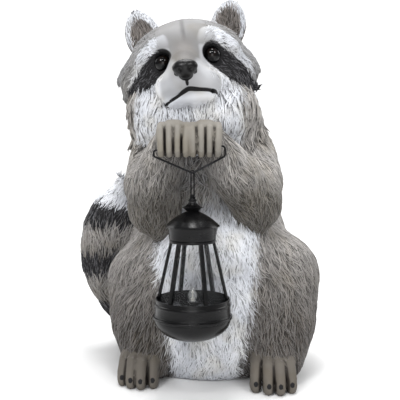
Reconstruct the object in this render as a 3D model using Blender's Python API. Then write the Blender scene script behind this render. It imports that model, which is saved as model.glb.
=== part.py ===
"""A plastic garden statue: a raccoon that sits up and holds a small hanging lantern in both forepaws.

Everything is in metres, +Z up, and the statue looks towards -Y. The origin is on the ground under the
middle of the whole thing. The animal is one hollow casting in real life and one solid here. The
lantern hangs from its paws on a wire bail and a link, and is made of its own small pieces.

The sculpture is drawn in 380ths of its height, so one number sets how tall it stands. The lantern is
a thing of its own: its sizes are real sizes, and the paws reach as far forward as it needs to hang
clear of the belly.
"""

import math
import random

import bmesh
import bpy
from mathutils import Euler, Matrix, Vector
from mathutils.bvhtree import BVHTree

# Overall
HEIGHT = 0.380              # ground to the tip of the taller ear
SHARE = HEIGHT / 380        # one unit of the drawing of the animal
GAP = 0.0003                # left between pieces that touch

# Lantern, from the seam between its band and its bowl
TURN_STEPS = 20             # sides of each turned piece
FLANGE_RADIUS = 0.0351
FLANGE_HEIGHT = 0.0024
BAND_RADIUS = 0.0338
BAND_HEIGHT = 0.0109
LIP_RADIUS = 0.0328
LIP_HEIGHT = 0.0041
SHELL_WALL = 0.0016
BOWL_DEPTH = 0.0200
SPIGOT_HEIGHT = 0.0040
TRAY_DROP = 0.0059          # from the lip's edge down to the tray
TRAY_THICKNESS = 0.0018
BOSS_RADIUS = 0.0056
BOSS_HEIGHT = 0.0022
LIP_WALL = 0.0008
SHADE_RISE = 0.0492         # from the lip's edge up to the cage's collar
BAR_COUNT = 6
BAR_WIDTH = 0.0035
BAR_THICKNESS = 0.0026
BAR_TURN = math.radians(22.5)
COLLAR_RADIUS = 0.0204
COLLAR_HEIGHT = 0.0025
COLLAR_WALL = 0.0035
GLASS_WALL = 0.0011
CAP_SKIRT = 0.0116
CAP_SKIRT_FLARE = 0.0021
CAP_RIM = 0.0014            # how far the rim stands out past the skirt
DOME_HEIGHT = 0.0128
NECK_RADIUS = 0.0053
DISC_RADIUS = 0.0090
DISC_RISE = 0.0038
STEM_RISE = 0.0042
STEM_RADIUS = 0.0033
STEM_HEIGHT = 0.0025
KNOB_RADIUS = 0.0023
KNOB_HEIGHT = 0.0041
EYE_RADIUS = 0.0011         # hole through the knob
BULB_RADIUS = 0.0041
BULB_HEIGHT = 0.0135

# Wire
WIRE = 0.0018               # the bail's thickness
LINK_WIRE = 0.0012
BORE_CLEARANCE = 0.0005     # round the bail where it runs through the paws
BAIL_DROP = 0.0215          # from the run through the paws down to the bail's point
BAIL_REACH = 0.0030         # how far each end of the run stands out of the paws
BAIL_LEFT_TURN = 0.0052     # how far each end comes down before it slopes to the point
BAIL_RIGHT_TURN = 0.0088
BAIL_BEND = 0.0021
BAIL_LEAN = 0.0027          # how far the bail's point lies towards the right paw
LINK_LENGTH = 0.0225
LINK_SLACK = 0.0006         # on each side of the knob, before the link's ends bend
LINK_BEND = 0.0013
LINK_TURN = math.radians(28)
BELLY_CLEARANCE = 0.0060    # between the lantern and the belly

# The animal, in units of SHARE
BELLY_FRONT = 83.0          # how far forward the belly's fur comes behind the lantern
PAW_LEFT = -23.0
PAW_RIGHT = 4.6
PAW_HALF_WIDTH = 14.2       # a fist's reach to each side, at the height of the wire
GRIP_HEIGHT = 225.5
GRIP_TILT = math.radians(3.5)
HEAD_CENTRE = Vector((-12, -24, 313))
HEAD_TURN = Euler((math.radians(-9), math.radians(-8), 0)).to_matrix()
MUZZLE_SIDE = -3.5          # the muzzle sits a little to one side
LOCK_SEED = 11
LOCK_DEPTH = 0.24           # a lock's half thickness, as a share of its width
COAT_FACES = 2800           # triangles kept of each part of the animal
HEAD_FACES = 1300
EAR_FACES = 130
PAW_FACES = 880
FOOT_FACES = 640

# Worked out
LIP_TOP = FLANGE_HEIGHT + BAND_HEIGHT + LIP_HEIGHT
TRAY_TOP = LIP_TOP - TRAY_DROP
COLLAR_FOOT = LIP_TOP + SHADE_RISE
COLLAR_TOP = COLLAR_FOOT + COLLAR_HEIGHT
CAP_FOOT = COLLAR_TOP + GAP
RIM_HEIGHT = CAP_FOOT + CAP_SKIRT
DOME_TOP = RIM_HEIGHT + DOME_HEIGHT
KNOB_FOOT = DOME_TOP + DISC_RISE + STEM_RISE + STEM_HEIGHT
EYE_HEIGHT = KNOB_FOOT + KNOB_HEIGHT / 2
SPIGOT_RADIUS = BAND_RADIUS - SHELL_WALL - GAP
CAP_INNER = COLLAR_RADIUS - SHELL_WALL
REACH = (BELLY_FRONT * SHARE + BELLY_CLEARANCE + FLANGE_RADIUS) / SHARE
GRIP = Vector(((PAW_LEFT + PAW_RIGHT) / 2, -REACH, GRIP_HEIGHT))
GRIP_HALF = (PAW_RIGHT - PAW_LEFT) / 2 + PAW_HALF_WIDTH


def material(name, colour, roughness, metallic=0.0, alpha=1.0):
    """A plain finish: colour, roughness, metal or not, and how much light it lets through."""
    mat = bpy.data.materials.new(name)
    mat.use_nodes = True
    shader = mat.node_tree.nodes["Principled BSDF"]
    shader.inputs["Base Color"].default_value = (*colour, 1)
    shader.inputs["Roughness"].default_value = roughness
    shader.inputs["Metallic"].default_value = metallic
    shader.inputs["Alpha"].default_value = alpha
    mat.diffuse_color = (*colour, alpha)
    return mat


def new_object(name, mesh, finish=None):
    """Links an object that holds the mesh, smooth but for its sharp edges."""
    if finish:
        mesh.materials.clear()
        mesh.materials.append(finish)
    mesh.shade_smooth()
    mesh.set_sharp_from_angle(angle=math.radians(35))
    obj = bpy.data.objects.new(name, mesh)
    bpy.context.scene.collection.objects.link(obj)
    return obj


def mesh_from(name, bm):
    """Turns a bmesh into a mesh and frees it."""
    bm.normal_update()
    mesh = bpy.data.meshes.new(name)
    bm.to_mesh(mesh)
    bm.free()
    return mesh


def baked(obj, name):
    """The object's mesh with its modifiers applied; the object itself goes."""
    bpy.context.view_layer.update()
    graph = bpy.context.evaluated_depsgraph_get()
    mesh = bpy.data.meshes.new_from_object(obj.evaluated_get(graph))
    mesh.name = name
    bpy.data.objects.remove(obj)
    return mesh


def combined(name, first, others, operation):
    """Joins or cuts the first mesh with the others, one exact Boolean each."""
    base = new_object(name, first)
    tools = [new_object(name + "_tool", mesh) for mesh in others]
    for tool in tools:
        step = base.modifiers.new(operation.title(), "BOOLEAN")
        step.operation = operation
        step.solver = "EXACT"
        step.object = tool
    mesh = baked(base, name)
    for tool in tools:
        bpy.data.objects.remove(tool)
    return mesh


# Masses of the sculpture

def add_mesh(bm, mesh):
    """Adds a mesh to the masses and lets go of it."""
    bm.from_mesh(mesh)
    bpy.data.meshes.remove(mesh)


def add_ball(bm, centre, radii, turn=None, rings=14):
    """A ball stretched along its own axes, in units of the drawing."""
    place = Matrix.Translation(Vector(centre) * SHARE)
    if turn is not None:
        place = place @ turn.to_4x4()
    place = place @ Matrix.Diagonal((*(r * SHARE for r in radii), 1))
    lump = bmesh.new()
    bmesh.ops.create_uvsphere(lump, u_segments=rings * 2, v_segments=rings, radius=1, matrix=place)
    add_mesh(bm, mesh_from("lump", lump))


def add_limb(bm, joints, rings=10):
    """A run of balls with cones between them. Each joint is x, y, z and radius, in units of the drawing."""
    for x, y, z, radius in joints:
        add_ball(bm, (x, y, z), (radius,) * 3, rings=rings)
    for start, end in zip(joints[:-1], joints[1:]):
        a = Vector(start[:3]) * SHARE
        b = Vector(end[:3]) * SHARE
        place = Matrix.Translation((a + b) / 2) @ (b - a).to_track_quat("Z", "Y").to_matrix().to_4x4()
        lump = bmesh.new()
        bmesh.ops.create_cone(lump, cap_ends=True, segments=rings * 2, radius1=start[3] * SHARE,
                              radius2=end[3] * SHARE, depth=(b - a).length, matrix=place)
        add_mesh(bm, mesh_from("lump", lump))


def fused(name, bm, cell, smoothing):
    """Melts overlapping masses into one skin: a grid of cells, then so many rounds of smoothing."""
    obj = new_object(name, mesh_from(name, bm))
    melt = obj.modifiers.new("Melt", "REMESH")
    melt.mode = "VOXEL"
    melt.voxel_size = cell * SHARE
    ease = obj.modifiers.new("Ease", "SMOOTH")
    ease.factor = 0.5
    ease.iterations = smoothing
    return baked(obj, name)


def faceted(mesh, count):
    """Keeps about so many of the mesh's triangles, fewest where it is flat."""
    obj = new_object(mesh.name, mesh)
    facets = obj.modifiers.new("Facets", "DECIMATE")
    facets.ratio = count / sum(len(face.vertices) - 2 for face in mesh.polygons)
    return baked(obj, mesh.name)


def on_head(x, y, z):
    """A place on the head, from its own centre, tilted with it."""
    return HEAD_CENTRE + HEAD_TURN @ Vector((x, y, z))


def torso():
    """Seat, belly, chest, thighs and shins, well melted together."""
    bm = bmesh.new()
    add_ball(bm, (12, 8, 84), (95, 82, 92))
    add_ball(bm, (12, -20, 92), (76, 62, 92))
    add_ball(bm, (8, 24, 150), (79, 62, 100))
    add_ball(bm, (2, 0, 212), (69, 57, 60))
    add_ball(bm, (11, -4, 32), (86, 77, 60))
    add_ball(bm, (11, -8, 8), (80, 74, 40))
    add_limb(bm, [(80, -26, 96, 42), (79, -46, 54, 35), (76, -62, 24, 26)])
    add_limb(bm, [(-56, -20, 90, 40), (-55, -40, 52, 33), (-51, -54, 24, 25)])
    return fused("torso", bm, 3.2, 12)


def neck():
    """The ruff under the head."""
    bm = bmesh.new()
    add_ball(bm, (-4, -8, 250), (67, 58, 36))
    add_ball(bm, (-7, -26, 268), (64, 48, 36))
    add_ball(bm, (-7, -48, 254), (46, 38, 29))
    return fused("neck", bm, 3.0, 6)


def tail():
    """The bushy tail, round the left haunch and up."""
    bm = bmesh.new()
    add_limb(bm, [(-30, 70, 28, 24), (-62, 66, 34, 24), (-79, 52, 44, 23), (-89, 40, 58, 23), (-98, 30, 78, 24),
                  (-103, 26, 100, 28), (-103, 24, 120, 29), (-101, 22, 140, 27), (-97, 20, 158, 22),
                  (-92, 18, 173, 15), (-88, 17, 185, 8), (-86, 16, 193, 4)])
    add_ball(bm, (-78, 26, 122), (24, 26, 58))
    return fused("tail", bm, 2.6, 4)


def arms():
    """Upper arms hang down to the elbows; forearms rise to the paws."""
    bm = bmesh.new()
    forward = REACH - 124
    add_limb(bm, [(44, -2, 216, 37), (53, -32, 192, 31), (54, -56, 175, 23)])
    add_limb(bm, [(54, -57, 174, 22.5), (33, -86 - forward / 2, 200, 23), (10, -107 - forward, 231, 14.5)])
    add_limb(bm, [(56, -56, 168, 18), (60, -58, 152, 7)])
    add_limb(bm, [(-38, -2, 212, 37), (-47, -32, 189, 30), (-44, -60, 169, 23)])
    add_limb(bm, [(-44, -61, 168, 22.5), (-40, -86 - forward / 2, 198, 22.5), (-27, -107 - forward, 231, 14.5)])
    add_limb(bm, [(-44, -60, 164, 18), (-40, -63, 146, 7)])
    return fused("arms", bm, 2.6, 5)


def paws():
    """Two fists side by side, four fingers each, curled over the wire."""
    bm = bmesh.new()
    for centre in (PAW_LEFT, PAW_RIGHT):
        add_ball(bm, (centre, 12 - REACH, 238), (15.5, 16, 13))
        add_ball(bm, (centre, 4 - REACH, 229), (14, 8.5, 9))
        for step in range(4):
            side = (step - 1.5) * 2 / 3
            knuckle = centre + side * 11.4
            tip = centre + side * 10.6
            add_limb(bm, [(knuckle, 7 - REACH, 245, 3.7), (knuckle, -4.5 - REACH, 240, 3.7),
                          (tip, -9 - REACH, 231, 3.2), (tip, -7 - REACH, 224, 3.0),
                          (tip, 1 - REACH, 220.5, 3.0)], rings=6)
    return faceted(fused("paws", bm, 0.8, 1), PAW_FACES)


def feet():
    """Hind feet flat on the ground, four toes each."""
    bm = bmesh.new()
    for ankle, toes in (((74, -66), ((51.6, -99), (63.0, -105), (73.7, -106), (84.8, -101))),
                        ((-53, -58), ((-74.0, -81), (-65.2, -89), (-55.6, -92), (-44.4, -89)))):
        add_limb(bm, [(*ankle, 22, 23), (ankle[0], ankle[1] - 18, 13, 18)])
        for x, y in toes:
            root = ankle[0] + (x - ankle[0]) * 0.88
            add_limb(bm, [(root, ankle[1] - 14, 21, 6.0), ((root + x) / 2, y + 10, 19.5, 5.8),
                          (x, y + 1, 13, 5.3)], rings=8)
            add_ball(bm, (x, y + 1, 7), (5.5, 8.5, 10), rings=8)
    return faceted(fused("feet", bm, 1.2, 1), FOOT_FACES)


def head():
    """Skull, cheeks, brows, muzzle, nose and eyes."""
    bm = bmesh.new()

    def ball(place, radii, turn=(0, 0, 0)):
        lean = HEAD_TURN @ Euler([math.radians(a) for a in turn]).to_matrix()
        add_ball(bm, on_head(*place), radii, lean)

    def limb(*joints):
        add_limb(bm, [(*on_head(*joint[:3]), joint[3]) for joint in joints])

    ball((0, 6, 4), (54, 50, 41))
    ball((0, -12, -28), (50, 36, 26))
    ball((0, -28, 6), (38, 23, 23))
    limb((24, -6, -2, 30), (50, -2, -14, 17))
    limb((-24, -6, 0, 30), (-52, -2, -12, 17))
    for side in (1, -1):
        limb((side * 13, -40, 8, 8), (side * 25, -38, 7, 9), (side * 40, -29, 0, 8))
        ball((side * 24, -37, -9), (8.5, 8.5, 8.5))
        ball((MUZZLE_SIDE + side * 12, -54, -36), (15, 23, 14), (0, 0, side * 14))
        limb((MUZZLE_SIDE, -56, -26, 15), (side * 22, -30, -24, 17))
    limb((MUZZLE_SIDE / 2, -30, -8, 20), (MUZZLE_SIDE, -58, -20, 15.5), (MUZZLE_SIDE, -76, -29, 11))
    ball((MUZZLE_SIDE, -63, -35), (16, 18, 13))
    ball((MUZZLE_SIDE, -50, -47), (20, 19, 11))
    skull = fused("skull", bm, 2.2, 5)
    bm = bmesh.new()
    bm.from_mesh(skull)
    ball((MUZZLE_SIDE, -84.5, -27.5), (11.5, 8, 7.6))
    ball((MUZZLE_SIDE, -83.5, -34), (7.8, 7, 7.2))
    for side in (1, -1):
        ball((side * 23.8, -41, -8.8), (7.6, 7.6, 7.6))
    for side in (1, -1):
        cheek_locks(bm, side)
    return faceted(fused("head", bm, 1.4, 1), HEAD_FACES)


def cheek_locks(bm, side):
    """The tufts that stand out and down from one cheek."""
    for step in range(5):
        share = step / 4
        root = on_head(side * (64 - 12 * share), 2 - 6 * share, 4 - 34 * share)
        out = (HEAD_TURN @ Vector((side, -0.3, 0))).normalized()
        along = (HEAD_TURN @ Vector((side * 0.55, 0, -1))).normalized()
        add_lock(bm, root - out * 3, out, along, 24, 15, 8)


def leaf(width, thickness, height, point, place, lean):
    """A leaf-shaped lump, pointed at its top, for an ear or the hollow in it."""
    bm = bmesh.new()
    bmesh.ops.create_uvsphere(bm, u_segments=28, v_segments=18, radius=1)
    for vert in bm.verts:
        rise = max(vert.co.z, 0)
        vert.co.x *= 1 - point * rise * rise
    size = Matrix.Diagonal((width * SHARE, thickness * SHARE, height * SHARE, 1))
    bm.transform(Matrix.Translation(place * SHARE) @ lean.to_4x4() @ size)
    return mesh_from("leaf", bm)


def ear(place, turn):
    """One ear with its cup hollowed out in front."""
    lean = HEAD_TURN @ Euler([math.radians(a) for a in turn]).to_matrix()
    middle = on_head(*place)
    outer = leaf(20, 10, 29, 0.34, middle, lean)
    cup = leaf(14, 9, 22, 0.30, middle + lean @ Vector((0, -10, -1)), lean)
    return faceted(combined("ear", outer, [cup], "DIFFERENCE"), EAR_FACES)


# Locks of fur

def add_lock(bm, root, out, along, length, width, lift):
    """One lock: a drop that tapers to its tip and stands off the skin there. In units of the drawing."""
    run = (along + out * (lift / length)).normalized()
    side = run.cross(out).normalized()
    up = side.cross(run)
    turn = Matrix((side, up, run)).transposed()
    lump = bmesh.new()
    bmesh.ops.create_uvsphere(lump, u_segments=10, v_segments=8, radius=1)
    for vert in lump.verts:
        taper = 1 - 0.6 * max(vert.co.z, 0) ** 1.5
        vert.co.x *= taper * width / 2
        vert.co.y *= taper * width * LOCK_DEPTH
        vert.co.z *= length / 2
        vert.co = (root + run * (length * 0.3) + turn @ vert.co) * SHARE
    add_mesh(bm, mesh_from("lump", lump))


def ring_of_locks(bm, tree, rng, axis, heading, count, length, width, lift, arc=(0, 360)):
    """A ring of locks round an upright axis: each starts where a ray towards the axis meets the skin."""
    first, last = arc
    for step in range(count):
        angle = math.radians(first + (last - first) * (step + 0.5 + rng.uniform(-0.2, 0.2)) / count)
        ray = Vector((math.sin(angle), -math.cos(angle), 0))
        hit, out, _, _ = tree.ray_cast((Vector(axis) + ray * 220) * SHARE, -ray, 260 * SHARE)
        swing = rng.uniform(-0.35, 0.35)
        scale = rng.uniform(0.85, 1.15)
        if hit is None:
            continue
        along = Vector(heading) + Vector((ray.y, -ray.x, 0)) * swing
        along = (along - out * along.dot(out)).normalized()
        add_lock(bm, hit / SHARE - out * 1.5, out, along, length * scale, width * scale, lift)


def locks(skin):
    """The tiers of fur that show from a step away: ruff, chest, back, haunches and tail."""
    tree = BVHTree.FromPolygons([v.co for v in skin.vertices], [p.vertices for p in skin.polygons])
    rng = random.Random(LOCK_SEED)
    bm = bmesh.new()
    down = (0, 0, -1)
    for height, count, front in ((284, 20, 55), (268, 22, 30), (252, 24, 0)):
        ring_of_locks(bm, tree, rng, (-6, -8, height), down, count, 24, 14, 5, arc=(front, 360 - front))
    for height in range(226, 20, -26):
        ring_of_locks(bm, tree, rng, (10, 0, height), down, 24, 30, 18, 2)
    for height in range(64, 180, 24):
        ring_of_locks(bm, tree, rng, (-101, 24, height), (0, 0, 1), 6, 28, 17, 3, arc=(-190, 20))
    return bm


def raccoon():
    """The whole animal: masses, then locks, then the flat foot and the wire's bore."""
    bm = bmesh.new()
    for mesh in (torso(), neck(), tail(), arms()):
        add_mesh(bm, mesh)
    skin = fused("skin", bm, 2.4, 4)
    bm = locks(skin)
    add_mesh(bm, skin)
    coat = faceted(fused("coat", bm, 1.7, 2), COAT_FACES)
    limbs = [head(), ear((46, 5, 33), (8, 20, 10)), ear((-42, 5, 36), (8, -12, -10)), paws(), feet()]
    whole = combined("whole", coat, limbs, "UNION")
    return combined("raccoon", whole, [ground(), bore()], "DIFFERENCE")


def ground():
    """All that would lie below the ground."""
    bm = bmesh.new()
    depth = 80 * SHARE
    size = Matrix.Diagonal((500 * SHARE, 500 * SHARE, depth, 1))
    bmesh.ops.create_cube(bm, size=1, matrix=Matrix.Translation((0, 0, -depth / 2)) @ size)
    return mesh_from("ground", bm)


def bore():
    """The hole that the bail's wire runs through, from one fist's side to the other's."""
    bm = bmesh.new()
    lean = Matrix.Rotation(math.radians(90) - GRIP_TILT, 4, "Y")
    place = Matrix.Translation(GRIP * SHARE) @ lean
    bmesh.ops.create_cone(bm, cap_ends=True, segments=8, radius1=WIRE / 2 + BORE_CLEARANCE,
                          radius2=WIRE / 2 + BORE_CLEARANCE, depth=(GRIP_HALF + 5) * 2 * SHARE, matrix=place)
    return mesh_from("bore", bm)


# Wire

def rounded(corners, radii, steps):
    """A closed path through the corners, each rounded to its radius."""
    points = []
    for index, corner in enumerate(corners):
        before = (corners[index - 1] - corner).normalized()
        after = (corners[(index + 1) % len(corners)] - corner).normalized()
        half = before.angle(after) / 2
        middle = (before + after).normalized()
        centre = corner + middle * (radii[index] / math.sin(half))
        start = corner + before * (radii[index] / math.tan(half)) - centre
        end = corner + after * (radii[index] / math.tan(half)) - centre
        sweep = start.angle(end)
        for step in range(steps + 1):
            share = step / steps
            arm = start * math.sin((1 - share) * sweep) + end * math.sin(share * sweep)
            points.append(centre + arm / math.sin(sweep))
    return points


def wire_loop(name, points, thickness, finish):
    """A closed loop of round wire."""
    curve = bpy.data.curves.new(name, "CURVE")
    curve.dimensions = "3D"
    curve.bevel_depth = thickness / 2
    curve.bevel_resolution = 1
    spline = curve.splines.new("POLY")
    spline.points.add(len(points) - 1)
    for point, place in zip(spline.points, points):
        point.co = (*place, 1)
    spline.use_cyclic_u = True
    curve.materials.append(finish)
    obj = bpy.data.objects.new(name, curve)
    bpy.context.scene.collection.objects.link(obj)
    return obj


def bail_path():
    """The bail's centre line: through the paws, down a little at each end, then in to the point."""
    grip = GRIP * SHARE
    run = Vector((math.cos(GRIP_TILT), 0, math.sin(GRIP_TILT))) * (GRIP_HALF * SHARE + BAIL_REACH)
    left, right = grip - run, grip + run
    corners = [left - Vector((0, 0, BAIL_LEFT_TURN)), left, right, right - Vector((0, 0, BAIL_RIGHT_TURN)),
               grip + Vector((BAIL_LEAN, 0, -BAIL_DROP))]
    return rounded(corners, [BAIL_BEND] * 5, 4)


def bail(finish):
    """The wire through the paws, which comes down to a point in front of the chest."""
    return wire_loop("bail_wire", bail_path(), WIRE, finish)


def bail_point():
    """The lowest point of the bail's centre line."""
    return min(bail_path(), key=lambda point: point.z)


def link(finish):
    """The long link between the bail and the lantern's knob, a little turned."""
    top = bail_point() + Vector((0, 0, WIRE / 2 + GAP + LINK_WIRE / 2))
    half = KNOB_RADIUS + LINK_SLACK + LINK_BEND
    corners = [Vector((0, side * half, height)) for side, height in
               ((1, 0), (1, -LINK_LENGTH), (-1, -LINK_LENGTH), (-1, 0))]
    turn = Matrix.Rotation(LINK_TURN, 3, "Z")
    points = [top + turn @ point for point in rounded(corners, [LINK_BEND] * 4, 4)]
    return wire_loop("hanging_link", points, LINK_WIRE, finish)


def lantern_place():
    """Where the lantern's seam lies under the link, on the lantern's own axis."""
    foot = bail_point().z + WIRE / 2 + GAP + LINK_WIRE / 2 - LINK_LENGTH
    eye = foot - (EYE_RADIUS - GAP - LINK_WIRE / 2)
    point = bail_point()
    return Vector((point.x, point.y, eye - EYE_HEIGHT))


# Lantern

def arc_points(start, end, bulge, steps):
    """Points after start and up to end on a bow that stands out by bulge at its middle."""
    a, b = Vector(start), Vector(end)
    out = Vector(((b - a).y, -(b - a).x)).normalized()
    points = []
    for step in range(1, steps + 1):
        share = step / steps
        points.append(tuple(a.lerp(b, share) + out * bulge * 4 * share * (1 - share)))
    return points


def turned(name, profile, closed):
    """A turned piece from radius and height pairs that run up the outside. A closed profile makes a ring."""
    bm = bmesh.new()
    verts = [bm.verts.new((radius, 0, height)) for radius, height in profile]
    pairs = list(zip(verts[:-1], verts[1:]))
    if closed:
        pairs.append((verts[-1], verts[0]))
    edges = [bm.edges.new(pair) for pair in pairs]
    bmesh.ops.spin(bm, geom=verts + edges, cent=(0, 0, 0), axis=(0, 0, 1), dvec=(0, 0, 0),
                   angle=math.radians(360), steps=TURN_STEPS, use_merge=True, use_duplicate=False)
    bmesh.ops.remove_doubles(bm, verts=bm.verts, dist=0.00002)
    bmesh.ops.recalc_face_normals(bm, faces=bm.faces)
    return mesh_from(name, bm)


def bowl():
    """The hollow bowl under the band, with a spigot that fits up inside it."""
    steps = 7
    outside = []
    for step in range(steps + 1):
        angle = math.pi / 2 * step / steps
        outside.append((BAND_RADIUS * math.sin(angle), -GAP - (BOWL_DEPTH - GAP) * math.cos(angle)))
    inside = []
    for step in range(5, -1, -1):
        angle = math.pi / 2 * step / 5
        inside.append(((SPIGOT_RADIUS - SHELL_WALL) * math.sin(angle),
                       -GAP - (BOWL_DEPTH - SHELL_WALL) * math.cos(angle)))
    spigot = [(SPIGOT_RADIUS, -GAP), (SPIGOT_RADIUS, SPIGOT_HEIGHT), (SPIGOT_RADIUS - SHELL_WALL, SPIGOT_HEIGHT)]
    return turned("lantern_bowl", outside + spigot + inside, False)


def band():
    """The band with its flange, its lip and the tray that carries the bulb."""
    inner = BAND_RADIUS - SHELL_WALL
    under = TRAY_TOP - TRAY_THICKNESS
    shoulder = FLANGE_HEIGHT + BAND_HEIGHT
    profile = [(0, under), (inner, under), (inner, 0), (FLANGE_RADIUS, 0), (FLANGE_RADIUS, FLANGE_HEIGHT),
               (BAND_RADIUS, FLANGE_HEIGHT), (BAND_RADIUS - 0.0004, shoulder), (LIP_RADIUS, shoulder + 0.0006),
               (LIP_RADIUS, LIP_TOP), (LIP_RADIUS - LIP_WALL, LIP_TOP), (LIP_RADIUS - LIP_WALL, TRAY_TOP),
               (BOSS_RADIUS, TRAY_TOP), (BOSS_RADIUS - 0.0004, TRAY_TOP + BOSS_HEIGHT),
               (0, TRAY_TOP + BOSS_HEIGHT)]
    return turned("lantern_band", profile, False)


def bar_radius(height):
    """The outside of the cage's bars: upright inside the lip, then leaning in to the collar."""
    foot = LIP_RADIUS - LIP_WALL - GAP
    share = max(0, height - LIP_TOP) / (COLLAR_FOOT - LIP_TOP)
    return foot + (COLLAR_RADIUS - foot) * share


def bar_face(height):
    """The flat outer face of a bar, just inside the flats of the turned pieces."""
    return bar_radius(height) * math.cos(math.pi / TURN_STEPS) - 0.0001


def glass_radius(height):
    """The outside of the glass, just inside the bars."""
    return bar_face(height) - BAR_THICKNESS - GAP


def cage():
    """Six bars between a ring in the lip and a collar under the cap: upright in the lip, then leaning in."""
    foot = TRAY_TOP + GAP
    ring_top = foot + 0.0028
    outer = bar_radius(TRAY_TOP)
    seat = turned("seat", [(glass_radius(foot) + GAP, foot), (outer, foot), (outer, ring_top),
                           (glass_radius(foot) + GAP, ring_top)], True)
    hole = COLLAR_RADIUS - COLLAR_WALL
    spigot = CAP_INNER - GAP
    collar = turned("collar", [(hole, COLLAR_FOOT), (COLLAR_RADIUS, COLLAR_FOOT), (COLLAR_RADIUS, COLLAR_TOP),
                               (spigot, COLLAR_TOP), (spigot, COLLAR_TOP + SPIGOT_HEIGHT),
                               (hole, COLLAR_TOP + SPIGOT_HEIGHT)], True)
    bars = []
    for index in range(BAR_COUNT):
        bm = bmesh.new()
        levels = []
        for height in (foot + 0.0010, LIP_TOP, COLLAR_FOOT + 0.0010):
            outside = bar_face(height)
            levels.append([bm.verts.new((outside - back * BAR_THICKNESS, side * BAR_WIDTH / 2, height))
                           for back, side in ((0, -1), (0, 1), (1, 1), (1, -1))])
        for lower, upper in zip(levels[:-1], levels[1:]):
            for step in range(4):
                after = (step + 1) % 4
                bm.faces.new((lower[step], lower[after], upper[after], upper[step]))
        bm.faces.new(reversed(levels[0]))
        bm.faces.new(levels[-1])
        turn = BAR_TURN + math.tau * index / BAR_COUNT - math.pi / 2
        bm.transform(Matrix.Rotation(turn, 4, "Z"))
        bars.append(mesh_from("bar", bm))
    return combined("lantern_cage", seat, bars + [collar], "UNION")


def glass():
    """The clear shade: an open tube between the tray and the collar, upright in the lip and then a cone."""
    levels = (TRAY_TOP + GAP, LIP_TOP, COLLAR_FOOT - GAP)
    profile = [(glass_radius(height), height) for height in levels]
    profile += [(glass_radius(height) - GLASS_WALL, height) for height in reversed(levels)]
    return turned("lantern_glass", profile, True)


def cap():
    """The hollow cap: a flared skirt, a rim, a low dome and a turned finial with an eye through its knob."""
    skirt_top = COLLAR_RADIUS + CAP_SKIRT_FLARE
    rim = skirt_top + CAP_RIM
    disc = DOME_TOP + DISC_RISE
    stem = disc + STEM_RISE
    ceiling = DOME_TOP - SHELL_WALL * 1.5
    profile = [(0, ceiling), (NECK_RADIUS, ceiling), (rim - SHELL_WALL * 2, RIM_HEIGHT - SHELL_WALL * 0.4),
               (CAP_INNER, CAP_FOOT), (COLLAR_RADIUS + 0.0002, CAP_FOOT)]
    profile += arc_points(profile[-1], (skirt_top, RIM_HEIGHT - 0.0010), -0.0005, 2)
    profile += [(rim, RIM_HEIGHT)]
    profile += arc_points((rim, RIM_HEIGHT), (NECK_RADIUS, DOME_TOP), 0.0012, 5)
    profile += [(DISC_RADIUS, disc - 0.0004), (DISC_RADIUS, disc)]
    profile += arc_points((DISC_RADIUS, disc), (STEM_RADIUS, stem), -0.0009, 3)
    profile += [(STEM_RADIUS + 0.0003, stem + STEM_HEIGHT * 0.5), (STEM_RADIUS, KNOB_FOOT),
                (KNOB_RADIUS, KNOB_FOOT), (KNOB_RADIUS, KNOB_FOOT + KNOB_HEIGHT), (0, KNOB_FOOT + KNOB_HEIGHT)]
    shell = turned("lantern_cap", profile, False)
    eye = bmesh.new()
    place = Matrix.Translation((0, 0, EYE_HEIGHT)) @ Matrix.Rotation(LINK_TURN, 4, "Z")
    bmesh.ops.create_cone(eye, cap_ends=True, segments=8, radius1=EYE_RADIUS, radius2=EYE_RADIUS,
                          depth=KNOB_RADIUS * 4, matrix=place @ Matrix.Rotation(math.pi / 2, 4, "X"))
    return combined("lantern_cap", shell, [mesh_from("eye", eye)], "DIFFERENCE")


def bulb():
    """A small clear lamp drawn up to a point like a flame."""
    foot = TRAY_TOP + BOSS_HEIGHT + GAP
    shape = [(0, 0), (0.80, 0), (0.82, 0.12), (1.0, 0.34), (0.94, 0.48), (0.62, 0.70), (0.27, 0.88), (0, 1)]
    return turned("lantern_bulb", [(r * BULB_RADIUS, foot + h * BULB_HEIGHT) for r, h in shape], False)


def centre_on_ground(root):
    """Moves everything so that the origin lies on the ground under the middle of its box."""
    bpy.context.view_layer.update()
    graph = bpy.context.evaluated_depsgraph_get()
    corners = []
    for obj in root.children:
        seen = obj.evaluated_get(graph)
        mesh = seen.to_mesh()
        corners += [seen.matrix_world @ vert.co for vert in mesh.vertices]
        seen.to_mesh_clear()
    middle = [(max(c[i] for c in corners) + min(c[i] for c in corners)) / 2 for i in range(2)]
    root.location = (-middle[0], -middle[1], 0)


def main():
    """Builds the statue and its lantern under one empty."""
    for obj in list(bpy.data.objects):
        bpy.data.objects.remove(obj)
    fur = material("painted_resin", (0.36, 0.34, 0.31), 0.72)
    black = material("black_plastic", (0.018, 0.018, 0.020), 0.38)
    clear = material("clear_plastic", (0.92, 0.94, 0.95), 0.08, alpha=0.25)
    steel = material("black_wire", (0.03, 0.03, 0.032), 0.45, metallic=0.6)
    root = bpy.data.objects.new("statue", None)
    bpy.context.scene.collection.objects.link(root)
    pieces = [new_object("raccoon", raccoon(), fur), bail(steel), link(steel)]
    place = lantern_place()
    for mesh, finish in ((cap(), black), (cage(), black), (glass(), clear), (bulb(), clear),
                         (band(), black), (bowl(), black)):
        piece = new_object(mesh.name.split(".")[0], mesh, finish)
        piece.location = place
        pieces.append(piece)
    for piece in pieces:
        piece.parent = root
    centre_on_ground(root)


main()
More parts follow.
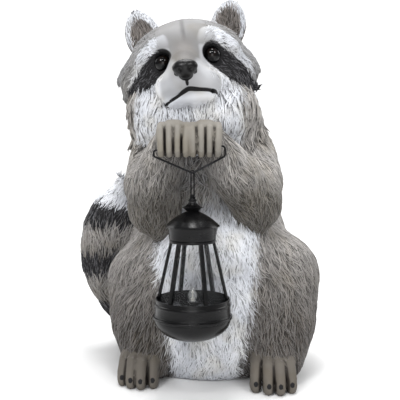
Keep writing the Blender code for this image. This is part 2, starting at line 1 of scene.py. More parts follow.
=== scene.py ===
"""The looks of a garden statue: a sitting raccoon that holds up a small hanging lantern.

The animal is drawn in 380ths of its height, which are millimetres at its real size, as distances to rounded
masses. A close mesh is drawn over the masses, seeded locks of fur are pressed into it, and its paint follows
from where each point lies. The lantern is turned from named sizes in metres.
"""

import logging
import math
from collections.abc import Callable
from dataclasses import dataclass, field
from enum import Enum

import bmesh
import bpy
import numpy as np
from mathutils import Euler, Matrix, Vector


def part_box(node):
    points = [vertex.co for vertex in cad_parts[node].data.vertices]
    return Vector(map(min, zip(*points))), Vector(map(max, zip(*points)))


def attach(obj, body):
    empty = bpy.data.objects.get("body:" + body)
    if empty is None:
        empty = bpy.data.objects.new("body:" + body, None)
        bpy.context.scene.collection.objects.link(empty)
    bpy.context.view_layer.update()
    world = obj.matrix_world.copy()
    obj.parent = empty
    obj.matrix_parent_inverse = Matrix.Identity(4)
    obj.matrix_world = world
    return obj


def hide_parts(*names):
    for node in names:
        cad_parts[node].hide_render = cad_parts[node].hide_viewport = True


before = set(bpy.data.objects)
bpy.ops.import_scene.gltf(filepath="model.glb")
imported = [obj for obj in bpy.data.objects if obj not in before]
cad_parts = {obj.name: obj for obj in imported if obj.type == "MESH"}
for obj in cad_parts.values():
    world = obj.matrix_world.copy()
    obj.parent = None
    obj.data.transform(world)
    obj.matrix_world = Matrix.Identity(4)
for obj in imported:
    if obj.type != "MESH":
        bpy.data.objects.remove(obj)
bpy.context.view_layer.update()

log = logging.getLogger("statue")
Array = np.ndarray
Point = tuple[float, float, float]

# The animal's drawing has so many units to a metre
UNITS = 1000
MEMBERS = ("torso", "ruff", "arms", "hands", "feet", "tail", "head", "ears")
# The link hangs turned about the upright, and the eye in the cap's knob is bored to suit
LINK_TURN = math.radians(28)


def srgb(red: float, green: float, blue: float) -> tuple[float, float, float]:
    """Turns a colour as a screen shows it, 0 to 255, into linear light.

    Args:
        red, green, blue: the screen's values.

    Returns:
        The three values in linear light, 0 to 1.
    """
    def linear(value: float) -> float:
        """One value, 0 to 255, in linear light."""
        share = value / 255
        return share / 12.92 if share <= 0.04045 else ((share + 0.055) / 1.055) ** 2.4
    return linear(red), linear(green), linear(blue)


class Slot(Enum):
    """The names of the finishes."""

    RESIN = "painted_resin"
    BLACK = "black_plastic"
    CLEAR = "clear_plastic"
    WIRE = "black_wire"


# Distances


def turn_of(x: float, y: float, z: float) -> Array:
    """The rotation by x, then y, then z degrees, as a 3 by 3 array."""
    return np.array(Euler([math.radians(a) for a in (x, y, z)]).to_matrix(), np.float32)


def melt(a: Array, b: Array, width: float) -> Array:
    """Joins two distances with a fillet of about the given width."""
    share = np.maximum(width - np.abs(a - b), 0) / width
    return np.minimum(a, b) - share * share * width / 4


def carve(a: Array, b: Array, width: float) -> Array:
    """Cuts the second distance's inside out of the first, with a soft edge."""
    return -melt(-a, b, width)


def melt_all(parts: list[Array], width: float) -> Array:
    """Joins a list of distances one after the other.

    Args:
        parts: the distances, at least one.
        width: about how wide the fillets are.

    Returns:
        The joined distance.
    """
    whole = parts[0]
    for part in parts[1:]:
        whole = melt(whole, part, width)
    return whole


class Masses:
    """Distances from a set of points to rounded masses. Masses far off cost nothing and count as FAR."""

    FAR = 26.0

    def __init__(self, points: Array) -> None:
        """Keeps the points, one a row, and the box around them.

        Args:
            points: the places to measure from, one a row.
        """
        self.points = points
        self.low = points.min(0)
        self.high = points.max(0)

    def away(self, centre: Array, reach: float) -> bool:
        """True if no point is within FAR of a ball."""
        gap = np.maximum(np.maximum(self.low - centre, centre - self.high), 0)
        return float(np.linalg.norm(gap)) > reach + self.FAR

    def nothing(self) -> Array:
        """The distance to a mass that is far off."""
        return np.full(len(self.points), self.FAR, np.float32)

    def ball(self, centre: Point, radii: Point, turn: Array | None = None) -> Array:
        """Distance to a stretched ball.

        Args:
            centre: its middle.
            radii: its three half lengths.
            turn: how it is turned, or None.

        Returns:
            One distance a point, negative inside.
        """
        middle = np.asarray(centre, np.float32)
        if self.away(middle, max(radii)):
            return self.nothing()
        local = self.points - middle
        if turn is not None:
            local = local @ turn
        size = np.asarray(radii, np.float32)
        near = np.linalg.norm(local / size, axis=1)
        slope = np.linalg.norm(local / (size * size), axis=1)
        return near * (near - 1) / np.maximum(slope, 1e-9)

    def cone(self, start: Array, end: Array, first: float, last: float) -> Array:
        """Distance to a cone between two balls.

        Args:
            start, end: the balls' middles.
            first, last: their radii.

        Returns:
            One distance a point, negative inside.
        """
        if self.away((start + end) / 2, float(np.linalg.norm(start - end)) / 2 + max(first, last)):
            return self.nothing()
        axis = (end - start).astype(np.float32)
        square = float(axis @ axis)
        taper = first - last
        lean = square - taper * taper
        local = self.points - start.astype(np.float32)
        along = local @ axis
        beyond = along - square
        across = local * square - along[:, None] * axis
        side = np.einsum("ij,ij->i", across, across)
        before = along * along * square
        after = beyond * beyond * square
        bound = np.sign(taper) * taper * taper * side
        at_end = np.sqrt(side + after) / square - last
        at_start = np.sqrt(side + before) / square - first
        between = (np.sqrt(side * lean / square) + along * taper) / square - first
        near = np.where(np.sign(along) * lean * before < bound, at_start, between)
        return np.where(np.sign(beyond) * lean * after > bound, at_end, near).astype(np.float32)

    def limb(self, *joints: tuple[float, float, float, float]) -> Array:
        """Distance to a run of cones. Each joint is x, y, z and radius.

        Args:
            joints: the places the cones run through, with their radii, in order.

        Returns:
            One distance a point, negative inside.
        """
        whole = None
        for start, end in zip(joints[:-1], joints[1:]):
            part = self.cone(np.array(start[:3]), np.array(end[:3]), start[3], end[3])
            whole = part if whole is None else np.minimum(whole, part)
        return whole


@dataclass
class Animal:
    """The raccoon's form, in 380ths of its height, looking towards -Y."""

    head_centre: Point = (-12.0, -24.0, 313.0)
    head_turn: Point = (-9.0, -8.0, 0.0)
    paws: tuple[float, float] = (-23.0, 4.6)
    reach: float = 124.1
    grip_height: float = 225.5
    eye_radius: float = 8.2
    eyes: tuple[Point, Point] = ((23.6, -41.0, -8.4), (-24.0, -41.0, -9.3))
    muzzle_side: float = -3.5
    mouth: tuple = ((-31.0, -54.2), (-23.0, -52.0), (-15.0, -50.0), (-9.0, -47.8), (-3.0, -46.2),
                    (3.0, -46.6), (9.0, -47.0), (17.0, -47.6), (23.0, -48.0), (29.0, -48.0))
    toes: tuple = (((74, -66), ((51.6, -99), (63.0, -105), (73.7, -106), (84.8, -101))),
                   ((-53, -58), ((-74.0, -81), (-65.2, -89), (-55.6, -92), (-44.4, -89))))
    tail_line: tuple = ((-30, 70, 28, 24), (-62, 66, 34, 24), (-79, 52, 44, 23), (-89, 40, 58, 23),
                        (-98, 30, 78, 24), (-103, 26, 100, 27), (-103, 24, 120, 28), (-101, 22, 140, 26),
                        (-97, 20, 158, 21), (-92, 18, 173, 14), (-88, 17, 185, 7), (-86, 16, 194, 2.5))
    turn: Array = field(init=False)
    lips: list = field(init=False)

    def __post_init__(self) -> None:
        """Works out the head's rotation and lays the mouth's line on the muzzle."""
        self.turn = turn_of(*self.head_turn)
        self.lips = [(x, self.front_of(x, z), z) for x, z in self.mouth]

    def front_of(self, x: float, z: float) -> float:
        """How far forward the bare face comes at a place on its flat map.

        Args:
            x, z: the place, from the head's centre.

        Returns:
            The y of the face's foremost point there.
        """
        reach = np.arange(-100, -20, 0.25)
        probe = np.array([self.on_head((x, y, z)) for y in reach], np.float32)
        inside = self.face(Masses(probe)) < 0
        return float(reach[np.argmax(inside)]) if inside.any() else -50.0

    def on_head(self, place: Point) -> Array:
        """A place on the head, from the head's centre, as a place on the animal."""
        return np.asarray(self.head_centre) + self.turn @ np.asarray(place, float)

    def from_head(self, points: Array) -> Array:
        """Places on the animal as seen from the head's centre, along the head's own axes."""
        return (points - np.asarray(self.head_centre, np.float32)) @ self.turn

    def torso(self, m: Masses) -> Array:
        """Seat, belly, chest, thighs and shins.

        Args:
            m: the points to measure.

        Returns:
            One distance a point, negative inside.
        """
        trunk = melt_all([
            m.ball((12, 8, 84), (95, 82, 92)),
            m.ball((12, -20, 92), (76, 62, 92)),
            m.ball((8, 24, 150), (78, 61, 100)),
            m.ball((2, 0, 212), (68, 56, 60)),
            m.ball((11, -4, 32), (86, 77, 58)),
        ], 22)
        legs = np.minimum(m.limb((80, -26, 96, 42), (80, -46, 54, 35), (76, -62, 24, 26)),
                          m.limb((-56, -20, 90, 39), (-56, -40, 52, 33), (-51, -54, 24, 25)))
        return melt(trunk, legs, 14)

    def ruff(self, m: Masses) -> Array:
        """The thick fur round the neck.

        Args:
            m: the points to measure.

        Returns:
            One distance a point, negative inside.
        """
        return melt_all([
            m.ball((-4, -8, 250), (65, 56, 35)),
            m.ball((-7, -26, 268), (62, 47, 36)),
            m.ball((-7, -48, 254), (46, 37, 28)),
        ], 12)

    def tail(self, m: Masses) -> Array:
        """The bushy tail, round the left haunch and up."""
        return melt(m.limb(*self.tail_line), m.ball((-78, 26, 122), (24, 26, 58)), 10)

    def arms(self, m: Masses) -> Array:
        """Upper arms hang down to the elbows; forearms rise to the paws.

        Args:
            m: the points to measure.

        Returns:
            One distance a point, negative inside.
        """
        forward = self.reach - 124
        right = melt_all([
            m.limb((44, -2, 216, 36), (53, -32, 192, 30), (54, -56, 175, 22)),
            m.limb((54, -57, 174, 22), (33, -86 - forward / 2, 200, 22), (10, -107 - forward, 231, 14)),
            m.limb((56, -56, 168, 18), (60, -58, 150, 5)),
        ], 10)
        left = melt_all([
            m.limb((-38, -2, 212, 36), (-47, -32, 189, 29), (-44, -60, 169, 22)),
            m.limb((-44, -61, 168, 22), (-40, -86 - forward / 2, 198, 22), (-27, -107 - forward, 231, 14)),
            m.limb((-44, -60, 164, 18), (-40, -63, 144, 5)),
        ], 10)
        return np.minimum(right, left)

    def hands(self, m: Masses) -> Array:
        """Two fists side by side, four fingers each, curled over the wire.

        Args:
            m: the points to measure.

        Returns:
            One distance a point, negative inside.
        """
        whole = m.nothing()
        for centre in self.paws:
            back = melt(m.ball((centre, 12 - self.reach, 238), (15.5, 16, 13)),
                        m.ball((centre, 4 - self.reach, 229), (14, 8.5, 9)), 4)
            fingers = m.nothing()
            for step in range(4):
                side = (step - 1.5) * 2 / 3
                knuckle = centre + side * 11.2
                tip = centre + side * 10.6
                sag = 1.6 * side * side
                finger = m.limb((knuckle, 9 - self.reach, 247 - sag, 3.6),
                                (knuckle, -3.5 - self.reach, 242 - sag, 3.7),
                                (tip, -8 - self.reach, 231, 3.2), (tip, -6.5 - self.reach, 224, 3.0),
                                (tip, 0.5 - self.reach, 220.5, 3.0))
                fingers = np.minimum(fingers, finger)
            whole = melt(whole, melt(back, fingers, 1.6), 2.0)
        return whole

    def feet(self, m: Masses) -> Array:
        """Hind feet flat on the ground, four toes each.

        Args:
            m: the points to measure.

        Returns:
            One distance a point, negative inside.
        """
        whole = m.nothing()
        for ankle, toes in self.toes:
            pad = m.limb((*ankle, 20, 22), (ankle[0], ankle[1] - 15, 11, 15))
            rest = m.nothing()
            for x, y in toes:
                root = ankle[0] + (x - ankle[0]) * 0.88
                toe = melt(m.limb((root, ankle[1] - 13, 25, 6.2), ((root + x) / 2, y + 10, 22, 5.7),
                                  (x, y + 1, 13.5, 5.1)),
                           m.ball((x, y + 1, 7), (5.4, 8.5, 9)), 2)
                rest = np.minimum(rest, toe)
            whole = np.minimum(whole, melt(pad, rest, 1.5))
        return whole

    def on_face(self, m: Masses) -> tuple:
        """Makers of balls and limbs whose places are given from the head's centre.

        Args:
            m: the points to measure.

        Returns:
            The maker of balls and the maker of limbs.
        """
        def ball(place: Point, radii: Point, lean: Point = (0, 0, 0)) -> Array:
            """Distance to a stretched ball, with place and lean along the head's axes."""
            return m.ball(tuple(self.on_head(place)), radii, self.turn @ turn_of(*lean))

        def limb(*joints: tuple) -> Array:
            """Distance to a run of cones, with the joints along the head's axes."""
            return m.limb(*[(*self.on_head(joint[:3]), joint[3]) for joint in joints])

        return ball, limb

    def face(self, m: Masses) -> Array:
        """Skull, cheeks, brows, muzzle and chin, without eyes, nose or mouth.

        Args:
            m: the points to measure.

        Returns:
            One distance a point, negative inside.
        """
        ball, limb = self.on_face(m)
        side = self.muzzle_side
        skull = melt_all([
            ball((0, 6, 4), (54, 50, 41)),
            ball((0, -12, -28), (50, 36, 26)),
            limb((24, -6, -2, 30), (50, -2, -14, 17)),
            limb((-24, -6, 0, 30), (-52, -2, -12, 17)),
            ball((0, -28, 6), (37, 22, 22)),
        ], 12)
        tufts = melt_all([
            limb((52, 0, -6, 12), (68, 2, -17, 3)),
            limb((50, 0, -20, 12), (64, 2, -33, 3)),
            limb((46, -2, -32, 12), (58, 0, -48, 3)),
            limb((-54, 0, -2, 12), (-71, 2, -8, 3)),
            limb((-52, 0, -14, 12), (-66, 2, -27, 3)),
            limb((-46, -2, -28, 12), (-60, 0, -42, 3)),
        ], 5)
        whole = melt(skull, tufts, 6)
        brows = np.minimum(limb((13, -43, 9, 7), (25, -41, 8, 8), (40, -31, 0, 7)),
                           limb((-14, -43, 8, 7), (-26, -41, 7, 8), (-41, -31, -1, 7)))
        whole = melt(whole, brows, 14)
        muzzle = melt_all([
            limb((side / 2, -30, -8, 19), (side, -58, -20, 14.5), (side, -76, -29, 10.5)),
            ball((side + 14, -52, -37), (17, 21, 14), (0, 0, 20)),
            ball((side - 13, -52, -37), (16, 21, 14), (0, 0, -20)),
            ball((side, -63, -36), (15, 17, 12)),
        ], 10)
        whole = melt(whole, muzzle, 14)
        return melt(whole, ball((side, -48, -49), (25, 18, 9)), 3)

    def head(self, m: Masses) -> Array:
        """The face with its eye sockets, nose and mouth.

        Args:
            m: the points to measure.

        Returns:
            One distance a point, negative inside.
        """
        ball, limb = self.on_face(m)
        side = self.muzzle_side
        whole = self.face(m)
        for x, y, z in self.eyes:
            whole = carve(whole, ball((x, y - 8, z), (8.6, 9, 8.0)), 2.5)
            fold = limb((x * 0.80, y + 1, z + 12.5, 1.6), (x, y - 1, z + 10.5, 1.3),
                        (x * 1.25, y + 6, z + 6, 1.0))
            whole = carve(whole, fold, 3.0)
        nose = melt(ball((side, -85, -29.5), (11.4, 7.5, 6.8)), ball((side, -84, -34.0), (6.6, 6.4, 5.8)), 5)
        whole = melt(whole, nose, 1.2)
        for nostril in (-5.2, 5.2):
            whole = carve(whole, ball((side + nostril, -92, -33.5), (2.2, 3.5, 1.7)), 1.0)
        groove = limb((side, -90, -38, 0.7), (side, -76, -46.5, 0.7))
        lips = limb(*[(*place, 1.1) for place in self.lips])
        centre = limb((side, -60, 2, 0.9), (side * 0.6, -50, 16, 1.2), (0, -46, 27, 1.2), (0, -30, 42, 0.8))
        return carve(whole, np.minimum(np.minimum(groove, lips), centre), 1.6)

    def ears(self, m: Masses) -> Array:
        """Two cupped, pointed ears.

        Args:
            m: the points to measure.

        Returns:
            One distance a point, negative inside.
        """
        whole = m.nothing()
        for place, lean in (((46, 5, 34), (8, 18, 10)), ((-42, 5, 36), (8, -10, -10))):
            turn = self.turn @ turn_of(*lean)
            middle = self.on_head(place)

            def leaf(size: Point, spread: float, forward: float, up: float) -> Array:
                """Distance to a pointed leaf in the ear's own axes.

                Args:
                    size: its half width, half depth and half height.
                    spread: how far its two round sides are drawn apart.
                    forward, up: its place from the ear's middle.

                Returns:
                    One distance a point, negative inside.
                """
                width, depth, height = size
                halves = [m.ball(tuple(middle + turn @ np.array((q * spread, forward, up))),
                                 (width + spread, depth, height), turn) for q in (-1, 1)]
                return -melt(-halves[0], -halves[1], 3)

            cup = carve(leaf((18.5, 10, 30), 8, 0, 0), leaf((13.8, 9.5, 23), 6, -9.5, -2), 2.2)
            whole = np.minimum(whole, cup)
        return whole

    def members(self, points: Array) -> dict[str, Array]:
        """The distance from each point to each member of the body."""
        m = Masses(points)
        return {name: getattr(self, name)(m) for name in MEMBERS}

    def detailed(self, points: Array) -> Array:
        """True near the face, ears, hands and feet, whose forms are small.

        Args:
            points: places, one a row.

        Returns:
            One truth value a point.
        """
        m = Masses(points)
        small = np.minimum(self.hands(m), self.feet(m))
        face = m.ball(tuple(self.on_head((0, -50, -20))), (48, 34, 38), self.turn)
        return np.minimum(np.minimum(small, face), self.ears(m)) < 14

    def distance(self, points: Array) -> Array:
        """The distance from each point to the whole animal, cut flat at the ground.

        Args:
            points: places, one a row.

        Returns:
            One distance a point, negative inside.
        """
        part = self.members(points)
        whole = melt(part["torso"], part["ruff"], 8)
        whole = melt(whole, part["tail"], 5)
        whole = melt(whole, part["arms"], 6)
        whole = melt(whole, part["hands"], 3)
        whole = melt(whole, part["feet"], 4)
        whole = melt(whole, melt(part["head"], part["ears"], 5), 6)
        return -melt(-whole, points[:, 2], 1.0)


def cell_keys(points: Array, size: float | Array, span: int) -> Array:
    """One whole number for each point's cell.

    Args:
        points: places, one a row, at most span / 2 cells from the origin.
        size: how wide a cell is, once for all points or once for each.
        span: how many cells there can be along one axis.

    Returns:
        The numbers, equal for points in one cell.
    """
    cell = np.floor(points / size).astype(np.int64) + span // 2
    return (cell[:, 0] * span + cell[:, 1]) * span + cell[:, 2]


def in_groups(key: Array) -> list[Array]:
    """The rows that share a key, one array of row numbers for each key."""
    order = np.argsort(key, kind="stable")
    return np.split(order, np.flatnonzero(np.diff(key[order])) + 1)


def in_lumps(work: Callable, points: Array, size: float = 24.0) -> Array:
    """Runs a function of points on one small region after another, so far masses drop out.

    Args:
        work: takes points, one a row, and returns one row each.
        points: all the points.
        size: how wide a region is.

    Returns:
        The results in the points' order.
    """
    result = None
    for rows in in_groups(cell_keys(points, size, 128)):
        value = work(points[rows])
        if result is None:
            result = np.zeros((len(points), *value.shape[1:]), value.dtype)
        result[rows] = value
    return result


def between(values: Array, axis: int) -> Array:
    """Adds a value halfway between each two neighbours along an axis.

    Args:
        values: any array.
        axis: the axis that gets the extra values.

    Returns:
        The longer array.
    """
    values = np.moveaxis(values, axis, -1)
    wider = np.empty((*values.shape[:-1], values.shape[-1] * 2 - 1), values.dtype)
    wider[..., ::2] = values
    wider[..., 1::2] = (values[..., :-1] + values[..., 1:]) / 2
    return np.moveaxis(wider, -1, axis)


@dataclass
class Skin:
    """Draws a close mesh over a form: one point in each small cell that the surface crosses."""

    form: Animal
    low: Point = (-150.0, -142.0, -4.0)
    high: Point = (142.0, 112.0, 392.0)
    cell: float = 1.3
    block: int = 8

    def sampled(self) -> Array:
        """The sign of the distance at each lattice point, worked out finely only near the surface.

        Returns:
            The distances on the lattice, or their signs far from the surface.
        """
        low = np.asarray(self.low)
        step = self.cell * self.block
        count = np.ceil((np.asarray(self.high) - low) / step).astype(int)
        middles = [low[i] + (np.arange(count[i]) + 0.5) * step for i in range(3)]
        grid = np.stack(np.meshgrid(*middles, indexing="ij"), -1).reshape(-1, 3).astype(np.float32)
        rough = in_lumps(self.form.distance, grid, step * 4).reshape(count)
        values = np.where(rough < 0, -1.0, 1.0).astype(np.float32)
        for axis in range(3):
            values = np.repeat(values, self.block, axis)
        values = np.pad(values, ((0, 1),) * 3, mode="edge")
        close = np.abs(rough) < step * 0.95
        middle = low + (np.argwhere(close) + 0.5) * step
        fine = in_lumps(self.form.detailed, middle.astype(np.float32), step * 4)
        for blocks, stride in ((np.argwhere(close)[fine], 1), (np.argwhere(close)[~fine], 2)):
            self.fill(values, blocks, stride)
        return values

    def fill(self, values: Array, blocks: Array, stride: int) -> None:
        """Works out the distances in some blocks of the lattice.

        Args:
            values: the whole lattice, changed in place.
            blocks: which blocks, three numbers a row.
            stride: 2 leaves out every second point, which then lies halfway between its neighbours.
        """
        axis = np.arange(0, self.block + 1, stride)
        offsets = np.stack(np.meshgrid(axis, axis, axis, indexing="ij"), -1).reshape(-1, 3)
        whole = np.arange(self.block + 1)
        for rows in in_groups((blocks // 3) @ np.array([10000, 100, 1])):
            group = blocks[rows]
            index = (group[:, None, :] * self.block + offsets[None]).reshape(-1, 3)
            points = (np.asarray(self.low) + index * self.cell).astype(np.float32)
            found = self.form.distance(points).reshape(len(group), *[len(axis)] * 3)
            if stride == 2:
                found = between(between(between(found, 1), 2), 3)
            for corner, part in zip(group * self.block, found):
                x, y, z = (slice(start, start + len(whole)) for start in corner)
                values[x, y, z] = part

    def net(self) -> tuple[Array, Array]:
        """Builds the points and the four-sided faces between them.

        Returns:
            The points, one a row, and the faces, four point numbers a row.
        """
        values = self.sampled()
        inside = values < 0
        corners = np.array([[x, y, z] for z in (0, 1) for y in (0, 1) for x in (0, 1)])
        some = np.zeros(np.array(inside.shape) - 1, bool)
        every = ~some
        for x, y, z in corners:
            part = inside[x:inside.shape[0] - 1 + x, y:inside.shape[1] - 1 + y, z:inside.shape[2] - 1 + z]
            some |= part
            every &= part
        cells = np.argwhere(some & ~every)
        at = np.stack([values[tuple((cells + corner).T)] for corner in corners], 1)
        total = np.zeros((len(cells), 3))
        hits = np.zeros(len(cells))
        for a in range(8):
            for axis in (1, 2, 4):
                b = a + axis
                if a & axis:
                    continue
                first, second = at[:, a], at[:, b]
                crosses = (first < 0) != (second < 0)
                share = np.where(crosses, first / np.where(crosses, first - second, 1), 0)
                place = corners[a] + share[:, None] * (corners[b] - corners[a])
                total += np.where(crosses[:, None], place, 0)
                hits += crosses
        points = np.asarray(self.low) + (cells + total / hits[:, None]) * self.cell
        number = np.full(some.shape, -1, np.int32)
        number[tuple(cells.T)] = np.arange(len(cells))
        faces = [self.faces_along(inside, number, axis) for axis in range(3)]
        return points.astype(np.float32), np.concatenate(faces)

    @staticmethod
    def faces_along(inside: Array, number: Array, axis: int) -> Array:
        """The faces that cut the lattice's edges along one axis, turned to look outwards.

        Args:
            inside: True for lattice points inside the form.
            number: each cell's point number, or -1.
            axis: which axis.

        Returns:
            Four point numbers a row.
        """
        low = [slice(None)] * 3
        high = [slice(None)] * 3
        low[axis] = slice(0, -1)
        high[axis] = slice(1, None)
        edges = np.argwhere(inside[tuple(low)] != inside[tuple(high)])
        u, v = (axis + 1) % 3, (axis + 2) % 3
        whole = (edges[:, u] > 0) & (edges[:, v] > 0)
        whole &= (edges[:, u] < number.shape[u]) & (edges[:, v] < number.shape[v])
        edges = edges[whole]
        du = np.zeros(3, int)
        dv = np.zeros(3, int)
        du[u] = 1
        dv[v] = 1
        ring = [number[tuple((edges - du - dv).T)], number[tuple((edges - dv).T)],
                number[tuple(edges.T)], number[tuple((edges - du).T)]]
        quads = np.stack(ring, 1)
        return np.where(inside[tuple(edges.T)][:, None], quads, quads[:, ::-1])

    def built(self) -> tuple[Array, Array, Array]:
        """The points settled on the surface, their outward directions, and the faces.

        Returns:
            The points, the directions and the faces, each one a row.
        """
        points, faces = self.net()
        out = outward(points, faces)
        off = in_lumps(self.form.distance, points)
        points = points - out * np.clip(off, -1, 1)[:, None]
        points[:, 2] = np.maximum(points[:, 2], 0)
        return points, outward(points, faces), faces


def outward(points: Array, faces: Array) -> Array:
    """The outward direction at each point of a mesh of four-sided faces.

    Args:
        points: the places, one a row.
        faces: four point numbers a row.

    Returns:
        One direction a point, one long.
    """
    across = np.cross(points[faces[:, 2]] - points[faces[:, 0]], points[faces[:, 3]] - points[faces[:, 1]])
    total = np.zeros((len(points), 3))
    for corner in range(4):
        for axis in range(3):
            total[:, axis] += np.bincount(faces[:, corner], across[:, axis], len(points))
    return (total / np.maximum(np.linalg.norm(total, axis=1), 1e-9)[:, None]).astype(np.float32)


# Fur


def ease(low: float, high: float, value: Array) -> Array:
    """Rises smoothly from 0 at low to 1 at high."""
    share = np.clip((value - low) / (high - low), 0, 1)
    return share * share * (3 - 2 * share)


def to_line(points: Array, start: Array, end: Array) -> tuple[Array, Array]:
    """How far along a straight line each point lies, 0 to 1, and how far off it.

    Args:
        points: places, one a row.
        start, end: the line's ends.

    Returns:
        The shares and the gaps, one of each a point.
    """
    axis = end - start
    share = np.clip((points - start) @ axis / (axis @ axis), 0, 1)
    return share, np.linalg.norm(points - start - share[:, None] * axis, axis=1)


def unit(vectors: Array) -> Array:
    """The vectors, one a row, each made one long."""
    return vectors / np.maximum(np.linalg.norm(vectors, axis=1, keepdims=True), 1e-9)


def wander(points: Array, size: float, seed: int) -> Array:
    """A smooth random value from about -1 to 1 at each point, with bumps about so wide.

    Args:
        points: places, one a row.
        size: about how wide a bump is.
        seed: fixes the pattern.

    Returns:
        One value a point.
    """
    rng = np.random.default_rng(seed)
    total = np.zeros(len(points))
    for _ in range(7):
        wave = rng.normal(size=3)
        wave = wave / np.linalg.norm(wave) * rng.uniform(0.6, 1.5) * math.tau / size
        total += np.sin(points @ wave + rng.uniform(0, math.tau))
    return total / 3.2


@dataclass(frozen=True)
class LockKind:
    """One size of lock: how far apart, how long and wide, how high its tip stands and how many strands."""

    spacing: float
    length: float
    width: float
    rise: float
    strands: int
    sway: float = 22.0


